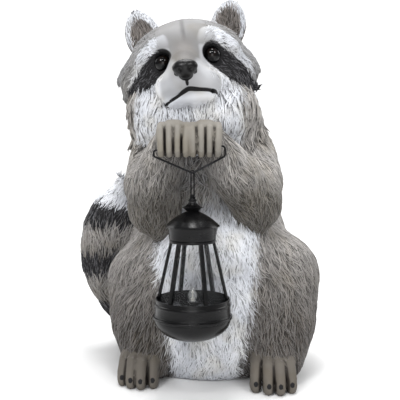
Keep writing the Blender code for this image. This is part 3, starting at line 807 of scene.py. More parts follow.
@dataclass
class Coat:
    """Fur pressed into the skin as overlapping locks that rise to their tips.

    Each lock carries a random number below TINTS, which shifts its strands and shades them.
    """

    TINTS = 50

    form: Animal
    points: Array
    out: Array
    seed: int = 7
    body: LockKind = LockKind(5.6, 19, 6.0, 1.5, 3, 11)
    tiers: LockKind = LockKind(9.5, 24, 10.5, 5.8, 4, 16)
    short: LockKind = LockKind(4.4, 12, 4.0, 1.0, 2, 13)
    face: LockKind = LockKind(4.2, 9, 3.0, 0.55, 1, 12)
    brush: LockKind = LockKind(6.0, 21, 6.0, 1.8, 3, 13)
    cell: float = 9.0
    widest: float = 0.4
    foot: float = 0.12
    groove: float = 0.16
    sunk: float = 0.35
    parts: dict[str, Array] = field(init=False)
    member: Array = field(init=False)
    local: Array = field(init=False)
    height: Array = field(init=False)
    strand: Array = field(init=False)
    tint: Array = field(init=False)
    flow: Array = field(init=False)
    lie: Array = field(init=False)
    amount: Array = field(init=False)

    def __post_init__(self) -> None:
        """Measures every point against the members and clears the relief."""
        def measured(points: Array) -> Array:
            """The distances to all members, one row a point."""
            return np.stack(list(self.form.members(points).values()), 1)

        table = in_lumps(measured, self.points)
        self.parts = {name: table[:, column] for column, name in enumerate(MEMBERS)}
        self.member = np.argmin(table, 1)
        self.local = self.form.from_head(self.points)
        self.height = np.zeros(len(self.points), np.float32)
        self.strand = np.zeros((len(self.points), 3), np.float32)
        self.tint = np.full(len(self.points), 0.5, np.float32)
        self.flow = self.directions()
        self.lie = self.flow.copy()
        self.index_cells()

    def on(self, *names: str) -> Array:
        """True for points that belong to one of the named members."""
        return np.isin(self.member, [MEMBERS.index(name) for name in names])

    def directions(self) -> Array:
        """The way the fur lies at each point, along the surface.

        Returns:
            One direction a point, one long.
        """
        p = self.points
        lie = np.zeros_like(p)
        lie[:, 0] = (p[:, 0] - 8) * 0.006
        lie[:, 2] = -1
        arm = self.on("arms")
        lie[arm] = (0, 0.3, -1.0)
        lie[arm, 0] = np.sign(p[arm, 0] + 5) * 0.25
        tail = self.on("tail")
        line = np.array(self.form.tail_line, np.float32)[:, :3]
        nearest = np.argmin(((p[tail, None, :] - line[None, :-1]) ** 2).sum(2), 1)
        lie[tail] = (line[1:] - line[:-1])[nearest]
        head = self.on("head", "ears")
        local = self.local[head]
        away = unit(local - np.array((self.form.muzzle_side, -70, -14), np.float32))
        away[:, 2] -= ease(20, 60, np.abs(local[:, 0])) * 0.7 + ease(0, 40, local[:, 1]) * 0.9
        lie[head] = away @ self.form.turn.T
        ear = self.on("ears")
        lie[ear] = np.array((0, -0.4, 1)) @ self.form.turn.T
        lie = unit(lie) + 0.26 * np.stack([wander(p, 46, seed) for seed in (3, 4, 5)], 1)
        curl = np.where(self.on("torso") & (p[:, 1] < -20) & (np.abs(p[:, 0] - 8) < 56), 0.34, 0.20) * ~head
        lie += curl[:, None] * np.stack([wander(p, 22, seed) for seed in (8, 9, 10)], 1)
        lie -= self.out * (lie * self.out).sum(1, keepdims=True)
        return unit(lie).astype(np.float32)

    def index_cells(self) -> None:
        """Sorts the points into cells, to find those round a place."""
        key = cell_keys(self.points, self.cell, 256)
        self.order = np.argsort(key, kind="stable")
        found, first, count = np.unique(key[self.order], return_index=True, return_counts=True)
        self.cells = {int(k): (int(f), int(f + c)) for k, f, c in zip(found, first, count)}

    def around(self, place: Array, reach: float) -> Array:
        """The numbers of the points in the cells that a ball touches.

        Args:
            place: the ball's middle.
            reach: its radius.

        Returns:
            The numbers.
        """
        low = np.floor((place - reach) / self.cell).astype(int) + 128
        high = np.floor((place + reach) / self.cell).astype(int) + 128
        runs = []
        for x in range(low[0], high[0] + 1):
            for y in range(low[1], high[1] + 1):
                for z in range(low[2], high[2] + 1):
                    run = self.cells.get((x * 256 + y) * 256 + z)
                    if run:
                        runs.append(self.order[run[0]:run[1]])
        return np.concatenate(runs) if runs else np.zeros(0, int)

    def lay(self, kind: LockKind, where: Array, strength: Array | None = None) -> int:
        """Lays one kind of lock over some of the points.

        Args:
            kind: the lock's sizes.
            where: True for points where a lock may start.
            strength: a factor on the rise at each point, or None.

        Returns:
            How many locks were laid.
        """
        rng = np.random.default_rng(self.seed + int(kind.length * 10))
        rows = np.flatnonzero(where)
        rng.shuffle(rows)
        _, first = np.unique(cell_keys(self.points[rows], kind.spacing, 1024), return_index=True)
        seeds = rows[np.sort(first)]
        for row in seeds:
            self.press(kind, row, rng, 1.0 if strength is None else float(strength[row]))
        return len(seeds)

    def press(self, kind: LockKind, row: int, rng: np.random.Generator, strength: float) -> None:
        """Presses one lock into the relief round a point: a drop that is highest just before its tip.

        Args:
            kind: the lock's sizes.
            row: the point it is centred on.
            rng: the source of its random sizes.
            strength: a factor on its rise.
        """
        length = kind.length * rng.uniform(0.75, 1.25)
        width = kind.width * rng.uniform(0.75, 1.25)
        rise = kind.rise * rng.uniform(0.65, 1.25) * strength
        sway = math.radians(rng.normal(0, kind.sway))
        bend = rng.normal(0, 0.22) * length
        tint = rng.uniform(0, self.TINTS)
        if strength < 0.04:
            return
        place = self.points[row]
        out = self.out[row]
        lie = self.flow[row]
        side = np.cross(out, lie)
        lie = lie * math.cos(sway) + side * math.sin(sway)
        side = np.cross(out, lie)
        near = self.around(place, length * 0.55)
        gap = self.points[near] - place
        along = gap @ lie / length + 0.5
        across = gap @ side + bend * (along - 0.5) ** 2
        keep = (along > 0) & (along < 1) & (np.abs(across) < width / 2) & (np.abs(gap @ out) < width * 0.9)
        keep &= self.out[near] @ out > 0.2
        near, along, across = near[keep], along[keep], across[keep]
        half = np.minimum((along / self.widest) ** 0.5, ((1 - along) / (1 - self.widest)) ** 0.75) * width / 2
        share = np.abs(across) / np.maximum(half, 1e-3)
        inside = share < 1
        near, along, across, share = near[inside], along[inside], across[inside], share[inside]
        ridge = np.sqrt(1 - share * share)
        grooves = 0.5 + 0.5 * np.cos(share * math.pi * kind.strands)
        slope = self.foot + (1 - self.foot) * along
        high = rise * (slope * (0.45 + 0.55 * ridge) - self.groove * (1 - grooves) * ridge)
        taller = high > self.height[near]
        near = near[taller]
        self.height[near] = high[taller]
        self.strand[near, 0] = across[taller]
        self.strand[near, 1] = along[taller] * length
        self.strand[near, 2] = tint
        self.tint[near] = tint / self.TINTS
        self.lie[near] = lie

    def groom(self) -> None:
        """Lays every kind of lock in its place."""
        x, y, z = self.local.T
        head = self.on("head")
        front = ease(-8, -34, y)
        reach = 24 + 7 * ease(-34, -42, z)
        bare = ease(reach + 6, reach - 4, np.abs(x - self.form.muzzle_side)) * front
        jaw = ease(-34, -58, z) * ease(-62, -40, y)
        cheek = np.maximum(ease(28, 50, np.abs(x)), jaw)
        crown = 0.22 + 0.6 * ease(0, 30, y)
        amount = np.clip(np.maximum(cheek, crown) * (1 - bare * (1 - jaw)), 0, 1)
        self.amount = amount
        bib = self.on("ruff", "torso") & (self.points[:, 2] > 212) & (self.points[:, 1] < 20)
        count = self.lay(self.body, self.on("torso", "arms"))
        count += self.lay(self.short, bib)
        count += self.lay(self.tiers, self.on("ruff"))
        count += self.lay(self.brush, self.on("tail"))
        count += self.lay(self.body, head & (amount > 0.7), amount)
        count += self.lay(self.face, head, amount * 0.9)
        count += self.lay(self.short, self.on("ears"), 0.25 + 0.9 * self.in_ear())
        log.info("locks laid: %d", count)

    def in_ear(self) -> Array:
        """1 deep in the cups of the ears, 0 on their rims and backs."""
        look = np.array((0, -1, 0)) @ self.form.turn.T
        return ease(0.2, 0.7, self.out @ look) * ease(3.5, 1.0, np.abs(self.parts["ears"])) * self.cup()

    def cup(self) -> Array:
        """1 in the middle of each ear's front and 0 at its rim.

        Returns:
            One share a point.
        """
        x, y, z = self.local.T
        inner = np.zeros(len(x))
        for middle, lean in ((46, 18), (-42, -10)):
            slant = math.radians(lean)
            u = (x - middle) * math.cos(slant) - (z - 34) * math.sin(slant)
            v = (x - middle) * math.sin(slant) + (z - 34) * math.cos(slant)
            inner = np.maximum(inner, ease(1.0, 0.6, np.hypot(u / 15.5, (v + 3) / 25)))
        return inner * (y < 6)

    def openness(self, reach: float) -> Array:
        """1 where nothing stands near in front of the surface, 0 deep in a crease."""
        away = in_lumps(self.form.distance, self.points + self.out * reach)
        return np.clip(away / reach, 0, 1)

    def raised(self) -> Array:
        """The points moved out by the relief, which fades at the ground.

        Returns:
            The moved points, one a row.
        """
        lift = (self.height - self.sunk * (self.height > 0)) * ease(0, 5, self.points[:, 2])
        moved = self.points + self.out * lift[:, None]
        moved[:, 2] = np.maximum(moved[:, 2], 0)
        return moved


@dataclass
class Wisps:
    """Fine strands of carved hair over the locks: slim ridges, sunk at their edges, lifted at their tips.

    EACH is how many points a wisp has: edge, crest and edge again at three places, and its tip.
    """

    EACH = 10

    coat: Coat
    steps: tuple = (0.0, 0.30, 0.68, 1.0)
    widths: tuple = (0.45, 1.0, 0.8, 0.0)
    lifts: tuple = (0.10, 0.75, 1.0, 0.6)
    across: tuple = (-0.8, 0, 0.8, -0.8, 0, 0.8, -0.8, 0, 0.8, 0)
    along: tuple = (0, 0, 0, 4, 4, 4, 9, 9, 9, 13)
    sink: float = 0.35
    seed: int = 23
    start: float = 0.35
    kinds: tuple = (("torso", (3.0, 16, 1.75, 0.85)), ("arms", (2.8, 14, 1.6, 0.75)),
                    ("ruff", (3.0, 16, 2.4, 1.6)), ("tail", (3.0, 18, 2.1, 1.2)),
                    ("head", (2.2, 10, 1.8, 0.8)), ("ears", (2.1, 9, 1.5, 0.6)))
    belly: tuple = (3.5, 19, 2.5, 1.5)

    def sizes(self) -> Array:
        """Spacing, length, width and rise of the wisp that could start at each point. Width 0 means none.

        Returns:
            Four sizes a point.
        """
        coat = self.coat
        size = np.zeros((len(coat.points), 4), np.float32)
        for name, row in self.kinds:
            size[coat.on(name)] = row
        pale = coat.on("torso") & (coat.points[:, 1] < -20) & (np.abs(coat.points[:, 0] - 8) < 46)
        size[pale] = self.belly
        head = coat.on("head")
        share = np.clip(coat.amount, 0, 1)[head]
        size[head, 1] = 6.5 + 5.5 * share
        size[head, 2] = 1.15 + 0.85 * share
        size[head, 3] = 0.10 + 0.95 * share
        ear = coat.on("ears")
        size[ear, 3] = 0.22 + 0.5 * coat.in_ear()[ear]
        bare = head & (coat.amount < 0.10)
        for centre in coat.form.eyes:
            gap = np.linalg.norm(coat.local - np.array(centre, np.float32), axis=1)
            bare |= gap < coat.form.eye_radius + 2.5
        near_foot = (coat.parts["feet"] < 2.0) | (coat.points[:, 2] < 2.5)
        size[bare | coat.on("hands", "feet") | near_foot, 2] = 0
        near_hand = ease(9, 3, coat.parts["hands"]) * coat.on("arms")
        size[:, 3] *= 1 - 0.7 * near_hand
        return size

    def seeds(self, size: Array) -> Array:
        """Picks about one point for each cell of the local spacing.

        Args:
            size: each point's sizes.

        Returns:
            The numbers of the points where a wisp starts.
        """
        rng = np.random.default_rng(self.seed)
        rows = np.flatnonzero(size[:, 2] > 0)
        rng.shuffle(rows)
        step = size[rows, 0] * 1.0
        key = cell_keys(self.coat.points[rows], step[:, None], 1024) * 64 + (step * 8).astype(np.int64)
        _, first = np.unique(key, return_index=True)
        return rows[np.sort(first)]

    def grown(self) -> tuple[Array, Array, Array]:
        """The wisps' shape.

        Returns:
            The row of the skin that each wisp starts from, the points of each wisp, and how high each of
            those stands in the wisp, 0 at its edges and 1 at its crest.
        """
        coat = self.coat
        size = self.sizes()
        rows = self.seeds(size)
        rng = np.random.default_rng(self.seed + 1)
        count = len(rows)
        _, length, width, rise = size[rows].T
        length = length * rng.uniform(0.7, 1.3, count)
        width = width * rng.uniform(0.7, 1.25, count)
        rise = rise * rng.uniform(0.6, 1.3, count)
        out = coat.out[rows]
        turn = rng.normal(0, 0.085, count)[:, None]
        side = np.cross(out, coat.lie[rows])
        lie = unit(coat.lie[rows] * np.cos(turn) + side * np.sin(turn))
        side = np.cross(out, lie)
        bend = rng.normal(0, 0.09, count) * length
        lift = np.maximum(coat.height[rows] - coat.sunk, -0.2)
        line = []
        for step in self.steps:
            along = step - self.start
            drift = side * (bend * along * along * 4)[:, None]
            line.append(coat.points[rows] + lie * (along * length)[:, None] + drift)
        flat = np.concatenate(line).astype(np.float32)
        drop = in_lumps(coat.form.distance, flat)
        flat = flat - np.tile(out, (4, 1)) * np.clip(drop, -6, 6)[:, None]
        line = flat.reshape(4, count, 3)
        points = np.zeros((count, self.EACH, 3), np.float32)
        level = np.tile(np.array((0, 0.55, 0, 0, 0.9, 0, 0, 1, 0, 0.9), np.float32), (count, 1))
        for index in range(4):
            crest = line[index] + out * (lift + rise * self.lifts[index])[:, None]
            if index == 3:
                points[:, -1] = crest
                continue
            half = side * (width * self.widths[index] / 2)[:, None]
            edge = line[index] + out * (lift - self.sink)[:, None]
            points[:, index * 3] = edge - half
            points[:, index * 3 + 1] = crest
            points[:, index * 3 + 2] = edge + half
        points[:, :, 2] = np.maximum(points[:, :, 2], 0.2)
        return rows, points, level

    @classmethod
    def faces(cls, count: int) -> tuple[Array, Array]:
        """Corners of the quads and of the triangles of so many wisps.

        Args:
            count: how many wisps.

        Returns:
            Four, and three, point numbers a row.
        """
        quads = []
        for low in (0, 3):
            quads += [(low, low + 3, low + 4, low + 1), (low + 1, low + 4, low + 5, low + 2)]
        tips = [(6, 9, 7), (7, 9, 8)]
        first = np.arange(count)[:, None, None] * cls.EACH
        return (first + np.array(quads)[None]).reshape(-1, 4), (first + np.array(tips)[None]).reshape(-1, 3)


# Paint


@dataclass(frozen=True)
class Palette:
    """The paints, as linear colours."""

    taupe: tuple = srgb(166, 162, 158)
    brown: tuple = srgb(76, 70, 65)
    crown: tuple = srgb(131, 131, 132)
    pale: tuple = srgb(238, 240, 245)
    beige: tuple = srgb(94, 89, 81)
    ear: tuple = srgb(124, 117, 112)
    paw: tuple = srgb(112, 107, 99)
    # The light colour of the painted highlight on the knuckles
    knuckle: tuple = srgb(190, 187, 180)
    back: tuple = srgb(100, 95, 90)
    # The dark wash for the grooves, also laid as painted shade in creases, along the forehead's groove and
    # under the paws
    wash_and_shade: tuple = srgb(34, 30, 27)
    black: tuple = srgb(20, 19, 21)


@dataclass
class Paint:
    """Where each paint lies. White and black are kept as distances, so their edges can be drawn finely."""

    coat: Coat
    palette: Palette = Palette()
    mask: tuple = (((24.3, -7.2, 9.9), (34, -15.5, 11.2), (45, -23.5, 11.5), (56, -32, 9.0), (62, -37, 5.0)),
                   ((-24.4, -8.2, 9.9), (-33, -14.5, 11.2), (-44, -21, 11.0), (-55, -28, 9.0),
                    (-61, -32, 5.0)))
    brow_top: tuple = ((-64, -22), (-52, -3), (-46, 5), (-40, 10), (-33, 13), (-26, 15.5), (-20, 17),
                       (-14, 14), (-9.5, 6), (-8, -30), (7, -30), (9, 8), (14, 16.5), (19, 19.5),
                       (25, 20.5), (34, 17.5), (43, 10.5), (51, 2), (58, -8), (65, -22))
    bands: tuple = (31.0, 53.0, 81.0, 103.0, 130.0, 154.0, 178.0, 202.0)
    ring_slant: float = 0.18
    mask_edge: float = 1.6
    mouth_edge: float = 0.5
    nose_edge: float = 0.6
    ring_edge: float = 3.0
    claw: float = 2.7
    proud: Array = field(init=False)
    run: Array = field(init=False)

    def __post_init__(self) -> None:
        """Finds out how far each point stands clear of its surroundings, and its place along the tail."""
        self.proud = self.coat.openness(5.0)
        self.run = self.run_along_tail()

    def off_bridge(self) -> Array:
        """How far to the side of the nose's bridge each point lies."""
        return np.abs(self.coat.local[:, 0] - self.coat.form.muzzle_side * 0.7)

    @staticmethod
    def chain(x: Array, z: Array, joints: tuple) -> Array:
        """How deep each point is in a flat chain of tapered strokes: positive inside.

        Args:
            x, z: each point's place on the flat map.
            joints: x, z and half width at each joint of the chain.

        Returns:
            One depth a point.
        """
        depth = np.full(len(x), -99.0)
        for (ax, az, ar), (bx, bz, br) in zip(joints[:-1], joints[1:]):
            span = (bx - ax) ** 2 + (bz - az) ** 2
            share = np.clip(((x - ax) * (bx - ax) + (z - az) * (bz - az)) / span, 0, 1)
            gap = np.hypot(x - ax - share * (bx - ax), z - az - share * (bz - az))
            depth = np.maximum(depth, ar + share * (br - ar) - gap)
        return depth

    def black_depth(self) -> Array:
        """How deep each point lies in black paint, in widths of the black's own edge.

        Returns:
            One depth a point, positive in the black, at most 4 either way.
        """
        coat = self.coat
        x, y, z = coat.local.T
        depth = np.full(len(x), -9.0)
        front = coat.on("head") & (y < 8)
        patch = np.maximum(self.chain(x, z, self.mask[0]), self.chain(x, z, self.mask[1]))
        depth[front] = patch[front] / self.mask_edge
        gap = np.full(len(x), 99.0)
        line = np.array(coat.form.lips, np.float32)
        stem = np.array(((coat.form.muzzle_side, -91, -38), (coat.form.muzzle_side, -77, -43)), np.float32)
        for start, end in [*zip(line[:-1], line[1:]), tuple(stem)]:
            gap = np.minimum(gap, to_line(coat.local, start, end)[1])
        flat = -self.chain(x, z, tuple((*place, 0.0) for place in coat.form.mouth))
        flat = np.where(y < -30, flat, 99)
        gap = np.minimum(gap, flat)
        thick = np.interp(x, (-31, -24, -4, 20, 29), (1.3, 1.2, 1.5, 1.15, 0.5))
        depth = np.maximum(depth, np.where(front, (thick - gap) / self.mouth_edge, -9))
        depth = np.maximum(depth, np.where(front, self.nose_depth() / self.nose_edge, -9))
        tail = coat.on("tail")
        depth[tail] = self.ring_depth()[tail] / self.ring_edge
        for ankle, toes in coat.form.toes:
            for tx, ty in toes:
                tip = np.array((tx, ty - 7.5, 9.5), np.float32)
                depth = np.maximum(depth, self.claw - np.linalg.norm(coat.points - tip, axis=1))
        return np.clip(depth, -4, 4)

    def nose_depth(self) -> Array:
        """How deep each point lies in the bare skin of the nose.

        Returns:
            One depth a point, positive on the nose.
        """
        x, y, z = self.coat.local.T
        side = self.coat.form.muzzle_side
        pad = 1 - np.sqrt(((x - side) / 12.4) ** 2 + ((z + 30.0) / 7.9) ** 2)
        tip = 1 - np.sqrt(((x - side) / 7.0) ** 2 + ((z + 34.5) / 6.4) ** 2)
        return np.where(y < -80, np.maximum(pad * 9, tip * 8), -9)

    def run_along_tail(self) -> Array:
        """How far from the tail's tip each point lies, along the tail and a little aslant.

        Returns:
            One length a point.
        """
        p = self.coat.points
        line = np.array(self.coat.form.tail_line, np.float32)[::-1, :3]
        lengths = np.concatenate([[0], np.cumsum(np.linalg.norm(line[1:] - line[:-1], axis=1))])
        best = np.full(len(p), 1e9)
        run = np.zeros(len(p))
        for start, end, before in zip(line[:-1], line[1:], lengths):
            share, gap = to_line(p, start, end)
            run = np.where(gap < best, before + share * np.linalg.norm(end - start), run)
            best = np.minimum(best, gap)
        return run + self.ring_slant * (p[:, 0] + 101)

    def ring_depth(self) -> Array:
        """How deep each point of the tail lies in one of its black rings.

        Returns:
            One depth a point, positive in a ring.
        """
        depth = np.full(len(self.run), -9.0)
        for start, end in zip(self.bands[::2], self.bands[1::2]):
            depth = np.maximum(depth, (end - start) / 2 - np.abs(self.run - (start + end) / 2))
        return depth

    def pale_share(self) -> Array:
        """How white the fur is, 0 to 1, before its strands break the edge up.

        Returns:
            One share a point.
        """
        coat = self.coat
        x, y, z = coat.local.T
        px, py, pz = coat.points.T
        half = np.interp(pz, (0, 40, 90, 150, 190, 225), (30, 35, 43, 50, 46, 38))
        share = ease(20, -16, np.abs(px - 6) - half) * ease(-4, -28, py) * coat.on("torso")
        # Less white up the chest, from about 142 to 186 high: painted shade under the arms and paws
        share = share * (1 - 0.62 * ease(142, 186, pz))
        side = np.abs(px + 8) - np.where(px > -8, 38, 43)
        share = np.maximum(share, ease(24, -6, side) * ease(8, -18, py) * coat.on("ruff") * 1.05)
        head = coat.on("head")
        line = np.interp(np.abs(x), (0, 24, 46, 60, 75), (-14, -12, -27, -33, -46))
        low = ease(3, -4, z - line)
        bridge = ease(7, -5, self.off_bridge() - np.interp(z, (-24, -12, 0), (5, 9, 11)))
        low = low * (1 - bridge * ease(-34, -24, z) * 0.85)
        side = x - coat.form.muzzle_side * 0.6
        notch = np.interp(z, (-24, -16, -8, 0, 10), (5, 10, 11, 11, 12))
        muzzle = ease(-3.5, 5, np.abs(side) - notch) * ease(8, -2, z) * (np.abs(x) < 30)
        ridge = 0.9 * ease(-34, -42, z)
        top = np.interp(x, *zip(*self.brow_top))
        brow = ease(-3, 3.5, top - z) * ease(-26, -14, z + 0.25 * np.abs(x) - 12) * (np.abs(x) > 7)
        inner = np.interp(z, (-6, 6, 18), (9, 10, 14))
        brow = brow * ease(-4, 6, np.abs(side) - inner) * (0.62 + 0.38 * ease(-6, 12, z))
        face = np.maximum(np.maximum(np.maximum(low, muzzle), brow), ridge) * ease(14, -4, y)
        face = face * (1 - 0.50 * ease(-36, -52, y) * ease(34, 26, np.abs(x)) * ease(-60, -44, z))
        share = np.where(head, face, share)
        rim = ease(0.6, 0.1, coat.cup()) * ease(9, 2, y)
        streaks = 0.12 + 0.5 * ease(26, 50, z) * ease(0.9, 0.3, coat.cup())
        share = np.where(coat.on("ears"), np.maximum(rim * 0.9, streaks), share)
        share = np.where(coat.on("tail"), 0.9 * ease(36, 26, self.run) + 0.30 * ease(90, 70, self.run)
                         + 0.16 * ease(70, 120, self.run), share)
        return np.clip(share, 0, 1)

    def base(self) -> Array:
        """The plain paint under the white, the black and the dark wash, with painted shade along the
        forehead's groove and under the paws, and a painted highlight on the knuckles.

        Returns:
            One linear colour a point.
        """
        coat = self.coat
        pick = self.palette
        tone = np.array(pick.taupe) + np.zeros((len(coat.points), 3))

        def over(colour: tuple, share: Array) -> None:
            """Lays a colour over the tone, by its share at each point."""
            tone[:] = tone + (np.array(colour) - tone) * np.clip(share, 0, 1)[:, None]

        px, py, pz = coat.points.T
        over(pick.back, ease(0, 50, py) * 0.8)
        over(pick.brown, coat.on("torso") * ease(176, 40, pz) * 0.95)
        over(pick.back, coat.on("tail") * 0.6)
        over(pick.beige, coat.on("arms") * ease(214, 172, pz) * 0.95)
        over(pick.crown, coat.on("head") * 0.9)
        over(pick.ear, coat.on("ears").astype(float))
        lx, ly, lz = coat.local.T
        # Painted shade along the forehead's carved centre groove
        line = ease(3.2, 0.6, np.abs(lx + 1.0)) * ease(-2, 14, lz) * ease(30, 0, ly) * coat.on("head")
        over(pick.wash_and_shade, line * 0.38)
        # Painted shadow in the hollow under the paws, between the arms
        hollow = ease(34, 12, np.abs(px + 9)) * ease(172, 200, pz) * ease(238, 226, pz)
        over(pick.wash_and_shade, hollow * coat.on("torso", "arms", "ruff") * 0.6)
        over(pick.paw, coat.on("hands", "feet").astype(float))
        # Painted highlight on the hands where they stand proud, on the knuckles
        over(pick.knuckle, coat.on("hands") * ease(0.55, 1.0, self.proud) * 0.20)
        over(pick.brown, coat.on("feet") * 0.45)
        bridge = ease(7, -5, self.off_bridge() - 9) * ease(16, 0, lz) * ease(-24, -34, ly)
        over(pick.back, bridge * coat.on("head") * 0.55)
        tone *= (1 + 0.10 * wander(coat.points, 34, 21))[:, None]
        return tone


# Meshes and finishes


def give(mesh: bpy.types.Mesh, name: str, values: Array) -> None:
    """Keeps one value, or three, for each of the mesh's points.

    Args:
        mesh: the mesh.
        name: what the values are kept under.
        values: one number, or three, a point.
    """
    kind = "FLOAT" if values.ndim == 1 else "FLOAT_VECTOR"
    layer = mesh.attributes.new(name, kind, "POINT")
    layer.data.foreach_set("value" if kind == "FLOAT" else "vector", values.astype(np.float32).ravel())


def linked(name: str, data: bpy.types.ID) -> bpy.types.Object:
    """Puts a mesh, curve, light or camera into the scene as an object.

    Args:
        name: the object's name.
        data: what it shows.

    Returns:
        The object.
    """
    obj = bpy.data.objects.new(name, data)
    bpy.context.scene.collection.objects.link(obj)
    return obj


def painted(obj: bpy.types.Object, finish: bpy.types.Material) -> bpy.types.Object:
    """Gives an object one finish.

    Args:
        obj: the object.
        finish: the material.

    Returns:
        The same object.
    """
    obj.data.materials.clear()
    obj.data.materials.append(finish)
    return obj


def applied(obj: bpy.types.Object) -> bpy.types.Object:
    """Replaces the object's mesh by what its modifiers make of it.

    Args:
        obj: the object.

    Returns:
        The same object, without modifiers.
    """
    bpy.context.view_layer.update()
    graph = bpy.context.evaluated_depsgraph_get()
    mesh = bpy.data.meshes.new_from_object(obj.evaluated_get(graph), preserve_all_data_layers=True,
                                           depsgraph=graph)
    obj.modifiers.clear()
    old = obj.data
    obj.data = mesh
    bpy.data.meshes.remove(old)
    return obj


class Nodes:
    """A small helper to wire up one material."""

    def __init__(self, name: str) -> None:
        """Starts a material with one Principled shader.

        Args:
            name: the material's name.
        """
        self.material = bpy.data.materials.new(name)
        self.material.use_nodes = True
        self.tree = self.material.node_tree
        self.shader = self.tree.nodes["Principled BSDF"]

    def add(self, kind: str, **settings: object) -> bpy.types.Node:
        """Adds a node and sets its own settings.

        Args:
            kind: the node's type.
            settings: its own settings by name.

        Returns:
            The node.
        """
        node = self.tree.nodes.new(kind)
        for key, value in settings.items():
            setattr(node, key, value)
        return node

    def put(self, source: object, target: bpy.types.NodeSocket) -> None:
        """Feeds a socket from another socket, or sets it to a plain value.

        Args:
            source: a socket or a plain value.
            target: the socket to feed.
        """
        if isinstance(source, bpy.types.NodeSocket):
            self.tree.links.new(source, target)
        else:
            target.default_value = source

    def stored(self, name: str, part: str = "Fac") -> bpy.types.NodeSocket:
        """A value kept on the mesh's points."""
        return self.add("ShaderNodeAttribute", attribute_name=name).outputs[part]

    def math(self, operation: str, a: object, b: object = 0.0) -> bpy.types.NodeSocket:
        """One sum of two values.

        Args:
            operation: which sum.
            a, b: sockets or numbers.

        Returns:
            The socket that carries the result.
        """
        node = self.add("ShaderNodeMath", operation=operation)
        self.put(a, node.inputs[0])
        self.put(b, node.inputs[1])
        return node.outputs[0]

    def spread(self, value: object, low: float, high: float, to: tuple[float, float] = (0, 1)
               ) -> bpy.types.NodeSocket:
        """Rises smoothly from one value to another as the input goes from low to high.

        Args:
            value: the input.
            low, high: where the rise starts and ends.
            to: the results at those two.

        Returns:
            The socket that carries the result.
        """
        node = self.add("ShaderNodeMapRange", interpolation_type="SMOOTHSTEP")
        self.put(value, node.inputs[0])
        for slot, number in zip((1, 2, 3, 4), (low, high, *to)):
            node.inputs[slot].default_value = number
        return node.outputs[0]

    def noise(self, scale: float, detail: float = 2.0, vector: object = None, rough: float = 0.5
              ) -> bpy.types.NodeSocket:
        """A smooth random value about 0.5 over the object, or over the given coordinates.

        Args:
            scale: bumps to the metre, about.
            detail: how many finer layers.
            vector: coordinates, or None for the object's own.
            rough: how strong the finer layers are.

        Returns:
            The socket that carries the result.
        """
        node = self.add("ShaderNodeTexNoise")
        node.inputs["Scale"].default_value = scale
        node.inputs["Detail"].default_value = detail
        node.inputs["Roughness"].default_value = rough
        place = vector or self.add("ShaderNodeTexCoord").outputs["Object"]
        self.put(place, node.inputs["Vector"])
        return node.outputs["Fac"]

    def scaled(self, vector: bpy.types.NodeSocket, factors: Point) -> bpy.types.NodeSocket:
        """Coordinates stretched along each axis.

        Args:
            vector: the coordinates.
            factors: one factor an axis.

        Returns:
            The socket that carries the result.
        """
        node = self.add("ShaderNodeVectorMath", operation="MULTIPLY")
        self.put(vector, node.inputs[0])
        node.inputs[1].default_value = factors
        return node.outputs[0]

    def mix(self, share: object, first: object, second: object, blend: str = "MIX") -> bpy.types.NodeSocket:
        """A mix of two colours.

        Args:
            share: how much of the second.
            first, second: the colours, sockets or plain.
            blend: how they are mixed.

        Returns:
            The socket that carries the result.
        """
        node = self.add("ShaderNodeMix", data_type="RGBA", blend_type=blend)
        self.put(share, node.inputs[0])
        for slot, colour in ((6, first), (7, second)):
            if isinstance(colour, tuple):
                colour = (*colour[:3], 1)
            self.put(colour, node.inputs[slot])
        return node.outputs[2]

    def bump(self, height: bpy.types.NodeSocket, depth: float, strength: float = 1.0
             ) -> bpy.types.NodeSocket:
        """Fine relief: depth is the height's full range in metres.

        Args:
            height: the relief, 0 to 1.
            depth: its range in metres.
            strength: a factor on it.

        Returns:
            The socket that carries the result.
        """
        node = self.add("ShaderNodeBump")
        node.inputs["Strength"].default_value = strength
        node.inputs["Distance"].default_value = depth
        self.put(height, node.inputs["Height"])
        return node.outputs["Normal"]

    def set(self, **values: object) -> None:
        """Sets or feeds the shader's sockets; an underscore stands for a space.

        Args:
            values: a socket, number or colour for each named socket.
        """
        for key, value in values.items():
            name = key.replace("_", " ")
            if isinstance(value, tuple) and len(value) == 3:
                value = (*value, 1)
            self.put(value, self.shader.inputs[name])


